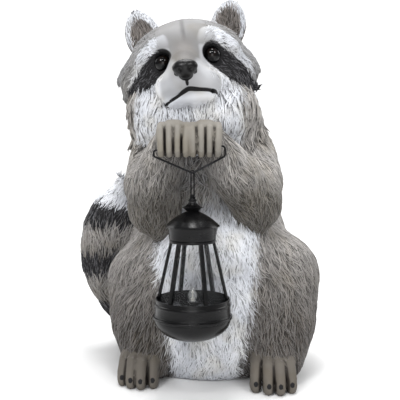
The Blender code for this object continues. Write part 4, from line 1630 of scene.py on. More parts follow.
@dataclass(frozen=True)
class FurPaint:
    """Hand-painted fur: white and black with furry edges, a dark wash with painted shade in the grooves and
    creases, and painted highlights on the crests.
    """

    palette: Palette = Palette()
    roughness: float = 0.62
    strand_scale: float = 0.85
    wash_and_shade_depth: float = 0.92

    def build(self) -> bpy.types.Material:
        """Makes the material.

        Returns:
            The material.
        """
        n = Nodes("painted_resin_fur")
        pick = self.palette
        strands = n.scaled(n.stored("strand", "Vector"), (1.0, 0.11, 1.0))
        fine = n.noise(self.strand_scale, 3.0, strands, 0.6)
        coated = n.spread(n.stored("furry"), 0.15, 0.7)
        grain = n.noise(420, 3.0)
        broad = n.noise(26, 3.0)
        edge = n.math("SUBTRACT", fine, 0.5)
        pale = n.math("ADD", n.stored("pale"), n.math("MULTIPLY", edge, 0.9))
        white = n.mix(n.spread(broad, 0.35, 0.65), srgb(214, 217, 224), pick.pale)
        colour = n.mix(n.spread(pale, 0.30, 0.78), n.stored("paint", "Color"), white)
        tint = n.mix(n.spread(n.noise(38, 2.0), 0.45, 0.70), (1.0, 1.0, 1.0), srgb(245, 242, 235))
        colour = n.mix(1.0, colour, tint, "MULTIPLY")
        # Dark wash and painted shade in the grooves between the locks and strands
        groove = n.math("MULTIPLY", n.spread(n.stored("relief"), 0.62, 0.05), self.wash_and_shade_depth)
        groove = n.math("MULTIPLY", groove, coated)
        hair = n.math("MULTIPLY", n.spread(fine, 0.47, 0.30), n.math("MULTIPLY", n.stored("furry"), 0.75))
        # Painted shade in creases, where little stands open in front of the surface
        crease = n.spread(n.stored("open"), 0.75, 0.05, (0, 0.9))
        wash_and_shade = n.math("MAXIMUM", n.math("MAXIMUM", groove, hair), crease)
        colour = n.mix(wash_and_shade, colour, pick.wash_and_shade)
        # Lighter crests of the hair: dry-brushed paint and a painted highlight
        glint = n.math("MULTIPLY", n.spread(n.stored("relief"), 0.70, 1.0), 0.45)
        colour = n.mix(glint, colour, n.mix(0.5, colour, (0.85, 0.85, 0.86)))
        black = n.math("ADD", n.stored("black"), n.math("MULTIPLY", edge, 2.4))
        # The black fur has lighter hairs on its crests: light strands and a painted highlight
        crest = n.math("MULTIPLY", n.spread(n.stored("relief"), 0.55, 0.95), n.spread(fine, 0.46, 0.60))
        black_with_light_crests = n.mix(crest, pick.black, srgb(116, 115, 119))
        colour = n.mix(n.spread(black, -0.35, 0.45), colour, black_with_light_crests)
        gloss = n.spread(n.stored("wet"), 0.0, 0.6)
        colour = n.mix(gloss, colour, srgb(14, 13, 14))
        rough = n.math("ADD", self.roughness - 0.06, n.math("MULTIPLY", grain, 0.16))
        rough = n.math("SUBTRACT", rough, n.math("MULTIPLY", gloss, 0.32))
        height = n.math("ADD", n.math("MULTIPLY", fine, n.stored("furry")), n.math("MULTIPLY", grain, 0.10))
        n.set(Base_Color=colour, Roughness=rough, Normal=n.bump(height, 0.0012, 0.8),
              Specular_IOR_Level=0.28)
        return n.material


@dataclass(frozen=True)
class Moulding:
    """Satin black moulded plastic with a faint orange-peel skin and fine rubs."""

    name: str = "black_moulding"
    colour: tuple = srgb(8, 8, 9)
    rubbed: tuple = srgb(22, 22, 24)
    roughness: float = 0.20

    def build(self) -> bpy.types.Material:
        """Makes the material.

        Returns:
            The material.
        """
        n = Nodes(self.name)
        peel = n.noise(900, 2.0)
        rub = n.noise(70, 5.0, rough=0.7)
        streak = n.noise(60, 3.0, n.scaled(n.add("ShaderNodeTexCoord").outputs["Object"], (0.6, 0.6, 6.0)))
        colour = n.mix(n.spread(rub, 0.56, 0.78), self.colour, self.rubbed)
        rough = n.math("ADD", self.roughness - 0.07, n.math("MULTIPLY", n.math("ADD", rub, streak), 0.12))
        n.set(Base_Color=colour, Roughness=rough, Normal=n.bump(peel, 0.0001, 0.5), Specular_IOR_Level=0.22)
        return n.material


@dataclass(frozen=True)
class Clear:
    """Clear plastic, thin and a little cloudy in long upright smears."""

    name: str
    roughness: float = 0.03
    alpha: float = 0.02
    colour: tuple = (0.35, 0.36, 0.37)

    def build(self) -> bpy.types.Material:
        """Makes the material.

        Returns:
            The material.
        """
        n = Nodes(self.name)
        smear = n.noise(42, 4.0, n.scaled(n.add("ShaderNodeTexCoord").outputs["Object"], (1.0, 1.0, 0.35)))
        rough = n.spread(smear, 0.3, 0.8, (self.roughness, self.roughness + 0.10))
        alpha = n.spread(smear, 0.45, 0.85, (self.alpha, self.alpha + 0.03))
        n.set(Base_Color=self.colour, Roughness=rough, Alpha=alpha, IOR=1.46, Specular_IOR_Level=0.6)
        return n.material


@dataclass(frozen=True)
class Wire:
    """Blackened wire, worn a little bright where it rubs."""

    name: str
    colour: tuple = srgb(20, 20, 22)
    worn: tuple = srgb(58, 58, 62)
    shine: float = 0.30

    def build(self) -> bpy.types.Material:
        """Makes the material.

        Returns:
            The material.
        """
        n = Nodes(self.name)
        wear = n.noise(240, 4.0, rough=0.65)
        colour = n.mix(n.spread(wear, 0.58, 0.72), self.colour, self.worn)
        rough = n.spread(wear, 0.3, 0.7, (self.shine + 0.14, self.shine - 0.04))
        n.set(Base_Color=colour, Roughness=rough, Metallic=0.7, Normal=n.bump(wear, 0.00005, 0.4))
        return n.material


@dataclass(frozen=True)
class EyeGloss:
    """Black painted eye under clear varnish, with a dark brown ring round the pupil."""

    black: tuple = srgb(5, 5, 6)
    ring: tuple = srgb(30, 20, 15)

    def build(self) -> bpy.types.Material:
        """Makes the material.

        Returns:
            The material.
        """
        n = Nodes("varnished_eye")
        aim = n.stored("aim")
        blot = n.noise(500, 2.0)
        ring = n.math("MULTIPLY", n.spread(aim, 0.80, 0.90), n.spread(aim, 0.97, 0.93))
        colour = n.mix(n.math("MULTIPLY", ring, blot), self.black, self.ring)
        rough = n.spread(blot, 0.3, 0.8, (0.08, 0.14))
        n.set(Base_Color=colour, Roughness=rough, Coat_Weight=0.35, Coat_Roughness=0.03,
              Specular_IOR_Level=0.12)
        return n.material


@dataclass(frozen=True)
class Ground:
    """The plain pale floor."""

    colour: tuple = (0.83, 0.83, 0.83)

    def build(self) -> bpy.types.Material:
        """Makes the material.

        Returns:
            The material.
        """
        n = Nodes("pale_floor")
        colour = n.mix(n.noise(9, 2.0), self.colour, tuple(c * 0.985 for c in self.colour))
        n.set(Base_Color=colour, Roughness=0.9, Specular_IOR_Level=0.1)
        return n.material


# Sub-assemblies


@dataclass
class Raccoon:
    """The cast animal: skin, fur, paint, and two varnished eyes."""

    form: Animal
    shift: Vector
    share: float = 1 / UNITS
    fine_cell: float = 1.3
    quick_cell: float = 2.4
    triangles: int = 192000
    eye_steps: int = 40
    thin_fur: float = 0.35
    wash_and_shade_under_hair: float = 0.62

    def place(self, points: Array) -> Array:
        """Turns places on the drawing into places in the frame, in metres."""
        return points * self.share + np.array(self.shift, np.float32)

    def build(self) -> list[bpy.types.Object]:
        """Makes the animal, its fine hair and its eyes, sets them on the root and hides the cast solid that
        they replace.

        Returns:
            The pieces.
        """
        cell = self.fine_cell
        points, out, faces = Skin(self.form, cell=cell).built()
        log.info("skin: %d points", len(points))
        coat = Coat(self.form, points, out)
        coat.groom()
        paint = Paint(coat)
        layers = self.layers(coat, paint)
        finish = FurPaint().build()
        body = self.body(coat, faces, layers, finish)
        pieces = [body, *self.hair(coat, layers, finish)]
        for piece in pieces:
            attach(piece, "root")
        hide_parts("raccoon")
        eyes = [self.eye(name, centre) for name, centre in zip(("right_eye", "left_eye"), self.form.eyes)]
        return [*pieces, *eyes]

    def layers(self, coat: Coat, paint: Paint) -> dict[str, Array]:
        """What the paint needs at each point of the skin.

        Args:
            coat: the fur and what is known of each point.
            paint: where each paint lies.

        Returns:
            The values by name, one row a point.
        """
        black = paint.black_depth()
        nose = np.where(coat.on("head"), paint.nose_depth(), -9)
        # How open each point is; the paint darkens closed places as painted shade, in creases and between the
        # fingers and toes
        wide = 0.25 + 0.75 * coat.openness(8.0)
        digits = coat.on("hands", "feet")
        openness_for_shade = np.where(digits, coat.openness(3.0) * coat.openness(6.0) * 1.25, wide)
        return {"black": black, "pale": paint.pale_share(), "wet": np.clip(nose, -2, 2), "open": openness_for_shade,
                "strand": coat.strand, "furry": self.furriness(coat), "tone": paint.base()}

    def hair(self, coat: Coat, layers: dict[str, Array], finish: bpy.types.Material
             ) -> list[bpy.types.Object]:
        """The fine hair as a few pieces: the front of the body, its back, and the head.

        Args:
            coat: the fur and what is known of each point.
            layers: the paint's values by name.
            finish: the material.

        Returns:
            The pieces.
        """
        wisps = Wisps(coat)
        rows, places, level = wisps.grown()
        rng = np.random.default_rng(5)
        shade = (0.62 + 0.62 * rng.random(len(rows)) ** 0.8) * (0.72 + 0.52 * coat.tint[rows])
        head = coat.on("head", "ears", "ruff")[rows]
        front = coat.out[rows, 1] < 0.1
        made = []
        for name, chosen in (("hair_of_head", head), ("hair_in_front", front & ~head),
                             ("hair_behind", ~front & ~head)):
            pick = np.flatnonzero(chosen)
            quads, tips = wisps.faces(len(pick))
            mesh = bpy.data.meshes.new(name)
            self.fill(mesh, self.place(places[pick].reshape(-1, 3)), [quads, tips])
            source = rows[pick].repeat(wisps.EACH)
            for key in ("black", "pale", "wet", "open"):
                give(mesh, key, layers[key][source])
            give(mesh, "furry", np.ones(len(source)))
            give(mesh, "relief", level[pick].ravel())
            across = np.tile(np.array(wisps.across), len(pick))
            along = np.tile(np.array(wisps.along), len(pick))
            own = (pick * 0.37 % Coat.TINTS).repeat(wisps.EACH)
            give(mesh, "strand", np.stack([across, along, own], 1))
            self.tone(mesh, layers["tone"][source] * shade[pick].repeat(wisps.EACH)[:, None])
            mesh.shade_smooth()
            made.append(painted(linked(name, mesh), finish))
            log.info("%s: %d wisps", name, len(pick))
        return made

    @staticmethod
    def fill(mesh: bpy.types.Mesh, places: Array, groups: list[Array]) -> None:
        """Fills an empty mesh with points and faces. Each group's faces have as many corners.

        Args:
            mesh: the empty mesh.
            places: the points, in metres.
            groups: arrays of faces, one face a row.
        """
        mesh.vertices.add(len(places))
        mesh.vertices.foreach_set("co", places.astype(np.float32).ravel())
        corners = np.concatenate([group.ravel() for group in groups]).astype(np.int32)
        sizes = np.concatenate([np.full(len(group), group.shape[1]) for group in groups])
        mesh.loops.add(len(corners))
        mesh.loops.foreach_set("vertex_index", corners)
        mesh.polygons.add(len(sizes))
        mesh.polygons.foreach_set("loop_start", (np.cumsum(sizes) - sizes).astype(np.int32))
        mesh.update(calc_edges=True)

    @staticmethod
    def tone(mesh: bpy.types.Mesh, colours: Array) -> None:
        """Keeps the plain paint's colour on the mesh's points.

        Args:
            mesh: the mesh.
            colours: one linear colour a point.
        """
        layer = mesh.attributes.new("paint", "FLOAT_COLOR", "POINT")
        full = np.concatenate([np.clip(colours, 0, 1), np.ones((len(colours), 1))], 1)
        layer.data.foreach_set("color", full.astype(np.float32).ravel())

    def body(self, coat: Coat, faces: Array, layers: dict[str, Array], finish: bpy.types.Material
             ) -> bpy.types.Object:
        """The whole animal as one closed mesh, with its paint kept on its points.

        Args:
            coat: the fur and what is known of each point.
            faces: four point numbers a row.
            layers: the paint's values by name.
            finish: the material.

        Returns:
            The object, in its place.
        """
        mesh = bpy.data.meshes.new("raccoon_fur")
        self.fill(mesh, self.place(coat.raised()), [faces])
        for key in ("black", "pale", "wet", "open", "strand", "furry"):
            give(mesh, key, layers[key])
        level = coat.height / np.maximum(self.smoothed(coat.height, faces), 0.35) / 1.6
        give(mesh, "relief", np.clip(level, 0, 1) * 0.8 + np.where(coat.height > 0, 0.0, 0.6))
        thin = coat.on("head") & (coat.amount < self.thin_fur)
        # The skin between the wisps is darker: dark wash and painted shade in the gaps between the hairs
        under = 1 - self.wash_and_shade_under_hair * layers["furry"] * np.where(thin, coat.amount / self.thin_fur, 1.0)
        self.tone(mesh, layers["tone"] * under[:, None])
        obj = painted(linked("raccoon_fur", mesh), finish)
        total = len(faces) * 2
        if total > self.triangles:
            keep = obj.vertex_groups.new(name="keep")
            fine = np.flatnonzero(coat.on("head") & (coat.local[:, 1] < -30))
            keep.add(fine.tolist(), 1.0, "REPLACE")
            fewer = obj.modifiers.new("Thin", "DECIMATE")
            fewer.ratio = self.triangles / total
            fewer.vertex_group = "keep"
            fewer.invert_vertex_group = True
            fewer.vertex_group_factor = 1.0
            applied(obj)
            obj.vertex_groups.clear()
        obj.data.shade_smooth()
        log.info("raccoon: %d faces", len(obj.data.polygons))
        return obj

    @staticmethod
    def smoothed(values: Array, faces: Array) -> Array:
        """Each point's value averaged with its neighbours', a few times over.

        Args:
            values: one number a point.
            faces: four point numbers a row.

        Returns:
            The averaged numbers.
        """
        ends = np.concatenate([faces[:, (0, 1)], faces[:, (1, 2)], faces[:, (2, 3)], faces[:, (3, 0)]])
        count = np.bincount(ends.ravel(), minlength=len(values))
        for _ in range(5):
            total = np.bincount(ends[:, 0], values[ends[:, 1]], len(values))
            total += np.bincount(ends[:, 1], values[ends[:, 0]], len(values))
            values = 0.5 * values + 0.5 * total / np.maximum(count, 1)
        return values

    @staticmethod
    def furriness(coat: Coat) -> Array:
        """How strongly fine hair shows at each point: none on the nose, the muzzle, hands and feet.

        Args:
            coat: the fur and what is known of each point.

        Returns:
            One share a point.
        """
        x, y, z = coat.local.T
        bare = ease(26, 14, np.abs(x - coat.form.muzzle_side)) * ease(-30, -48, y) * coat.on("head")
        furry = np.where(coat.height > 0, 1.0, 0.15)
        furry = furry * np.where(coat.on("head"), ease(0.02, 0.5, coat.amount), 1)
        return furry * (1 - bare) * np.where(coat.on("hands", "feet"), 0.1, 1.0)

    def eye(self, name: str, centre: Point) -> bpy.types.Object:
        """One varnished eyeball, set in its socket.

        Args:
            name: the object's name.
            centre: its middle, from the head's centre.

        Returns:
            The object, in its place.
        """
        form = self.form
        bm = bmesh.new()
        bmesh.ops.create_uvsphere(bm, u_segments=self.eye_steps, v_segments=self.eye_steps // 2,
                                  radius=form.eye_radius * self.share)
        aim_at = Vector((0.12 if centre[0] < 0 else -0.02, -1, 0.12)).normalized()
        turn = Matrix(form.turn.tolist())
        mesh = bpy.data.meshes.new(name)
        aims = np.array([vert.co.normalized().dot(turn @ aim_at) for vert in bm.verts])
        middle = Vector(self.place(form.on_head(centre)).tolist())
        bmesh.ops.translate(bm, verts=bm.verts, vec=middle)
        bm.to_mesh(mesh)
        bm.free()
        mesh.shade_smooth()
        give(mesh, "aim", aims)
        finish = bpy.data.materials.get("varnished_eye") or EyeGloss().build()
        obj = painted(linked(name, mesh), finish)
        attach(obj, "root")
        return obj


def bow(start: tuple[float, float], end: tuple[float, float], bulge: float, steps: int = 10) -> list:
    """Points after start and up to end on a bow that stands out by bulge at its middle.

    Args:
        start, end: radius and height of its ends.
        bulge: how far it stands out.
        steps: how many points.

    Returns:
        The points, radius and height pairs.
    """
    a, b = Vector(start), Vector(end)
    out = Vector(((b - a).y, -(b - a).x)).normalized()
    return [tuple(a.lerp(b, step / steps) + out * bulge * 4 * (step / steps) * (1 - step / steps))
            for step in range(1, steps + 1)]


@dataclass
class Lantern:
    """The mini lantern: cap, cage, clear shade, lamp, band and bowl, turned about one axis."""

    seam: Vector
    steps: int = 96
    gap: float = 0.0003
    flange: tuple[float, float] = (0.0351, 0.0024)
    band: tuple[float, float] = (0.0338, 0.0109)
    lip: tuple[float, float] = (0.0328, 0.0041)
    wall: float = 0.0016
    bowl_depth: float = 0.0200
    spigot: float = 0.0040
    tray_drop: float = 0.0059
    tray_thickness: float = 0.0018
    boss: tuple[float, float] = (0.0056, 0.0022)
    lip_wall: float = 0.0008
    shade_rise: float = 0.0492
    bars: int = 6
    bar_size: tuple[float, float] = (0.0035, 0.0026)
    bar_turn: float = math.radians(22.5)
    collar: tuple[float, float, float] = (0.0204, 0.0025, 0.0035)
    glass_wall: float = 0.0011
    skirt: tuple[float, float] = (0.0116, 0.0021)
    rim: float = 0.0014
    dome: float = 0.0128
    neck: float = 0.0053
    disc: tuple[float, float] = (0.0090, 0.0038)
    stem: tuple[float, float, float] = (0.0033, 0.0042, 0.0025)
    knob: tuple[float, float] = (0.0023, 0.0041)
    eye: float = 0.0011
    lamp: tuple[float, float] = (0.0041, 0.0135)
    bevel_angle: float = math.radians(32)
    sharp_angle: float = math.radians(40)
    bevel: float = 0.00022
    fine_bevel: float = 0.00012
    core_bevel: float = 0.0001
    bar_bevel: float = 0.0003
    bead: float = 0.00035
    ring_height: float = 0.0028

    def __post_init__(self) -> None:
        """Works out the heights that follow from the sizes, from the seam between band and bowl."""
        self.shoulder = self.flange[1] + self.band[1]
        self.lip_top = self.shoulder + self.lip[1]
        self.tray = self.lip_top - self.tray_drop
        self.collar_foot = self.lip_top + self.shade_rise
        self.collar_top = self.collar_foot + self.collar[1]
        self.cap_foot = self.collar_top + self.gap
        self.rim_height = self.cap_foot + self.skirt[0]
        self.dome_top = self.rim_height + self.dome
        self.knob_foot = self.dome_top + self.disc[1] + self.stem[1] + self.stem[2]

    def lathe(self, name: str, profile: list, closed: bool = False) -> bpy.types.Object:
        """Turns a profile, radius and height pairs, about the lantern's axis.

        Args:
            name: the object's name.
            profile: the pairs in order, outside first and upwards.
            closed: True joins the last pair to the first.

        Returns:
            The object, in its place.
        """
        bm = bmesh.new()
        verts = [bm.verts.new((radius, 0, height)) for radius, height in profile]
        pairs = list(zip(verts[:-1], verts[1:])) + ([(verts[-1], verts[0])] if closed else [])
        edges = [bm.edges.new(pair) for pair in pairs]
        bmesh.ops.spin(bm, geom=verts + edges, cent=(0, 0, 0), axis=(0, 0, 1), dvec=(0, 0, 0),
                       angle=math.tau, steps=self.steps, use_merge=True, use_duplicate=False)
        bmesh.ops.remove_doubles(bm, verts=bm.verts, dist=0.00001)
        bmesh.ops.recalc_face_normals(bm, faces=bm.faces)
        return self.finished(name, bm)

    def finished(self, name: str, bm: bmesh.types.BMesh) -> bpy.types.Object:
        """Moves a shape made about the origin into place, as an object.

        Args:
            name: the object's name.
            bm: the shape, which is used up.

        Returns:
            The object, in its place.
        """
        bmesh.ops.translate(bm, verts=bm.verts, vec=self.seam)
        mesh = bpy.data.meshes.new(name)
        bm.to_mesh(mesh)
        bm.free()
        return linked(name, mesh)

    def smooth(self, obj: bpy.types.Object, bevel: float | None = None) -> bpy.types.Object:
        """Rounds the edges a little and shades the rest smooth.

        Args:
            obj: the object.
            bevel: how wide the rounding is, or None for the usual.

        Returns:
            The same object.
        """
        edge = obj.modifiers.new("Bevel", "BEVEL")
        edge.width = self.bevel if bevel is None else bevel
        edge.segments = 2
        edge.limit_method = "ANGLE"
        edge.angle_limit = self.bevel_angle
        return self.shaded(applied(obj))

    def shaded(self, obj: bpy.types.Object) -> bpy.types.Object:
        """Shades the object smooth, but for its sharp edges.

        Args:
            obj: the object.

        Returns:
            The same object.
        """
        obj.data.shade_smooth()
        obj.data.set_sharp_from_angle(angle=self.sharp_angle)
        return obj

    def joined(self, base: bpy.types.Object, tools: list[bpy.types.Object], operation: str
               ) -> bpy.types.Object:
        """Joins other solids to the first, or cuts them out of it.

        Args:
            base: the first solid.
            tools: the others, which are used up.
            operation: "UNION" or "DIFFERENCE".

        Returns:
            The first solid, changed.
        """
        for tool in tools:
            step = base.modifiers.new("Join", "BOOLEAN")
            step.operation = operation
            step.solver = "EXACT"
            step.object = tool
        applied(base)
        for tool in tools:
            bpy.data.objects.remove(tool)
        return base

    def bar_radius(self, height: float) -> float:
        """The outside of the cage's bars: upright inside the lip, then leaning in to the collar.

        Args:
            height: above the seam.

        Returns:
            The radius there.
        """
        foot = self.lip[0] - self.lip_wall - self.gap
        share = max(0, height - self.lip_top) / (self.collar_foot - self.lip_top)
        return foot + (self.collar[0] - foot) * share - 0.0002

    def make_bowl(self) -> bpy.types.Object:
        """The hollow bowl under the band.

        Returns:
            The object, in its place.
        """
        radius = self.band[0]
        inner = radius - self.wall * 2 - self.gap
        angles = [math.pi / 2 * step / 24 for step in range(25)]
        outside = [(radius * math.sin(a), -self.gap - (self.bowl_depth - self.gap) * math.cos(a))
                   for a in angles]
        inside = [(inner * math.sin(a), -self.gap - (self.bowl_depth - self.wall) * math.cos(a))
                  for a in reversed(angles[::2])]
        step = radius - self.wall - self.gap
        ring = [(step, -self.gap), (step, self.spigot), (inner, self.spigot)]
        return self.smooth(self.lathe("lantern_bowl_shell", outside + ring + inside))

    def make_band(self) -> bpy.types.Object:
        """The band with its flange, bead, lip and tray.

        Returns:
            The object, in its place.
        """
        radius, height = self.band
        inner = radius - self.wall
        under = self.tray - self.tray_thickness
        edge = self.lip[0] - self.lip_wall
        profile = [(0, under), (inner, under), (inner, 0), (self.flange[0] - 0.0003, 0),
                   (self.flange[0], 0.0004), (self.flange[0], self.flange[1] - 0.0005),
                   (self.flange[0] - 0.0004, self.flange[1]), (radius, self.flange[1]),
                   (radius, self.flange[1] + height * 0.10),
                   (radius - self.bead, self.flange[1] + height * 0.13),
                   (radius - self.bead, self.flange[1] + height * 0.80),
                   (radius, self.flange[1] + height * 0.84),
                   (radius - 0.0002, self.shoulder), (self.lip[0], self.shoulder + 0.0006),
                   (self.lip[0], self.lip_top - 0.0003), (self.lip[0] - 0.0003, self.lip_top),
                   (edge, self.lip_top), (edge, self.tray), (self.boss[0], self.tray),
                   (self.boss[0] - 0.0004, self.tray + self.boss[1]), (0, self.tray + self.boss[1])]
        return self.smooth(self.lathe("lantern_band_ring", profile), self.fine_bevel)

    def make_cage(self) -> bpy.types.Object:
        """Six leaning bars between a ring in the lip and a collar under the cap.

        Returns:
            The object, in its place.
        """
        foot = self.tray + self.gap
        outer = self.bar_radius(self.tray)
        inner = outer - self.bar_size[1]
        ring_top = foot + self.ring_height
        ring = self.lathe("lantern_cage_bars", [(inner, foot), (outer, foot), (outer, ring_top),
                                               (inner, ring_top)], True)
        radius, height, wall = self.collar
        hole = radius - wall
        spigot = radius - self.wall - self.gap
        top = self.collar_top + self.spigot
        collar = self.lathe("collar", [(hole, self.collar_foot), (radius, self.collar_foot),
                                       (radius, self.collar_top), (spigot, self.collar_top), (spigot, top),
                                       (hole, top)], True)
        bars = []
        for index in range(self.bars):
            bm = bmesh.new()
            levels = []
            for height in (foot + 0.001, self.lip_top, self.collar_foot + 0.001):
                face = self.bar_radius(height) - 0.0001
                corners = [(face - back * self.bar_size[1], side * self.bar_size[0] / 2, height)
                           for back, side in ((0, -1), (0, 1), (1, 1), (1, -1))]
                levels.append([bm.verts.new(corner) for corner in corners])
            for lower, upper in zip(levels[:-1], levels[1:]):
                for step in range(4):
                    after = (step + 1) % 4
                    bm.faces.new((lower[step], lower[after], upper[after], upper[step]))
            bm.faces.new(reversed(levels[0]))
            bm.faces.new(levels[-1])
            turn = self.bar_turn + math.tau * index / self.bars - math.pi / 2
            bm.transform(Matrix.Rotation(turn, 4, "Z"))
            bars.append(self.finished("bar", bm))
        return self.smooth(self.joined(ring, [collar, *bars], "UNION"), self.bar_bevel)

    def make_glass(self) -> bpy.types.Object:
        """The clear shade: an open tube from the tray to the collar, upright in the lip and then a cone.

        Returns:
            The object, in its place.
        """
        low, high = self.tray + self.gap, self.collar_foot - self.gap
        inset = self.bar_size[1] + self.gap * 2
        heights = (low, self.lip_top, *np.linspace(self.lip_top, high, 7)[1:])
        outside = [(self.bar_radius(height) - inset, height) for height in heights]
        inside = [(radius - self.glass_wall, h) for radius, h in reversed(outside)]
        return self.shaded(self.lathe("lantern_shade", outside + inside, True))

    def make_cap(self) -> bpy.types.Object:
        """The hollow cap: flared skirt, rim, low dome, and a turned finial with an eye through its knob.

        Returns:
            The object, in its place.
        """
        radius = self.collar[0]
        flare = radius + self.skirt[1]
        rim = flare + self.rim
        disc = self.dome_top + self.disc[1]
        stem = disc + self.stem[1]
        ceiling = self.dome_top - self.wall * 1.5
        profile = [(0, ceiling), (self.neck, ceiling),
                   (rim - self.wall * 2, self.rim_height - self.wall * 0.4),
                   (radius - self.wall, self.cap_foot), (radius + 0.0002, self.cap_foot)]
        profile += bow(profile[-1], (flare, self.rim_height - 0.0010), -0.0005, 6)
        profile += [(rim - 0.0002, self.rim_height - 0.0004), (rim, self.rim_height)]
        profile += bow((rim, self.rim_height), (self.neck, self.dome_top), 0.0012, 16)
        profile += [(self.neck + 0.0004, self.dome_top + 0.0006), (self.disc[0] - 0.0003, disc - 0.0007),
                    (self.disc[0], disc - 0.0002)]
        profile += bow(profile[-1], (self.stem[0], stem), -0.0009, 8)
        top = self.knob_foot + self.knob[1]
        profile += [(self.stem[0] + 0.0003, stem + self.stem[2] * 0.5), (self.stem[0], self.knob_foot),
                    (self.knob[0], self.knob_foot + 0.0002)]
        profile += bow(profile[-1], (self.knob[0] * 0.8, top - 0.0004), 0.00015, 4)
        profile += [(self.knob[0] * 0.5, top), (0, top)]
        shell = self.lathe("lantern_cap_shell", profile)
        hole = bmesh.new()
        place = Matrix.Translation((0, 0, self.knob_foot + self.knob[1] / 2))
        place = place @ Matrix.Rotation(LINK_TURN, 4, "Z") @ Matrix.Rotation(math.pi / 2, 4, "X")
        bmesh.ops.create_cone(hole, cap_ends=True, segments=24, radius1=self.eye, radius2=self.eye,
                              depth=self.knob[0] * 4, matrix=place)
        return self.smooth(self.joined(shell, [self.finished("hole", hole)], "DIFFERENCE"))

    def make_lamp(self) -> bpy.types.Object:
        """A small clear lamp drawn up to a point like a flame, on a short foot.

        Returns:
            The object, in its place.
        """
        radius, height = self.lamp
        foot = self.tray + self.boss[1] + self.gap
        shape = [(0, 0), (0.78, 0), (0.80, 0.06), (0.74, 0.09), (0.74, 0.12), (0.84, 0.20), (0.95, 0.28),
                 (1.0, 0.36), (0.98, 0.44), (0.88, 0.54), (0.72, 0.65), (0.52, 0.76), (0.34, 0.86),
                 (0.18, 0.94), (0, 1)]
        obj = self.lathe("lantern_lamp", [(r * radius, foot + h * height) for r, h in shape])
        obj.data.shade_smooth()
        return obj

    def make_core(self) -> bpy.types.Object:
        """The light's small white core and its stem, sealed in the lamp.

        Returns:
            The object, in its place.
        """
        radius, height = self.lamp
        foot = self.tray + self.boss[1] + self.gap + height * 0.03
        shape = [(0, 0), (0.42, 0), (0.42, 0.18), (0.16, 0.22), (0.13, 0.50), (0.24, 0.54), (0.24, 0.62),
                 (0.10, 0.68), (0, 0.70)]
        profile = [(r * radius, foot + h * height) for r, h in shape]
        return self.smooth(self.lathe("lamp_core", profile), self.core_bevel)

    def build(self) -> list[bpy.types.Object]:
        """Makes every piece of the lantern, sets each on the root and hides the solid that it replaces, where
        there is one.

        Returns:
            The pieces.
        """
        black = Moulding().build()
        shade = Clear("clear_shade").build()
        glassy = Clear("clear_lamp", 0.02, 0.22, (0.80, 0.82, 0.82)).build()
        core = Moulding("pale_core", srgb(186, 184, 176), srgb(214, 213, 208), 0.5).build()
        made = [
            (self.make_bowl(), black, "lantern_bowl", Slot.BLACK),
            (self.make_band(), black, "lantern_band", Slot.BLACK),
            (self.make_cage(), black, "lantern_cage", Slot.BLACK),
            (self.make_cap(), black, "lantern_cap", Slot.BLACK),
            (self.make_glass(), shade, "lantern_glass", Slot.CLEAR),
            (self.make_lamp(), glassy, "lantern_bulb", Slot.CLEAR),
            (self.make_core(), core, None, Slot.CLEAR),
        ]
        for obj, finish, node, slot in made:
            painted(obj, finish)
            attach(obj, "root")
            if node:
                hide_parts(node)
        return [row[0] for row in made]


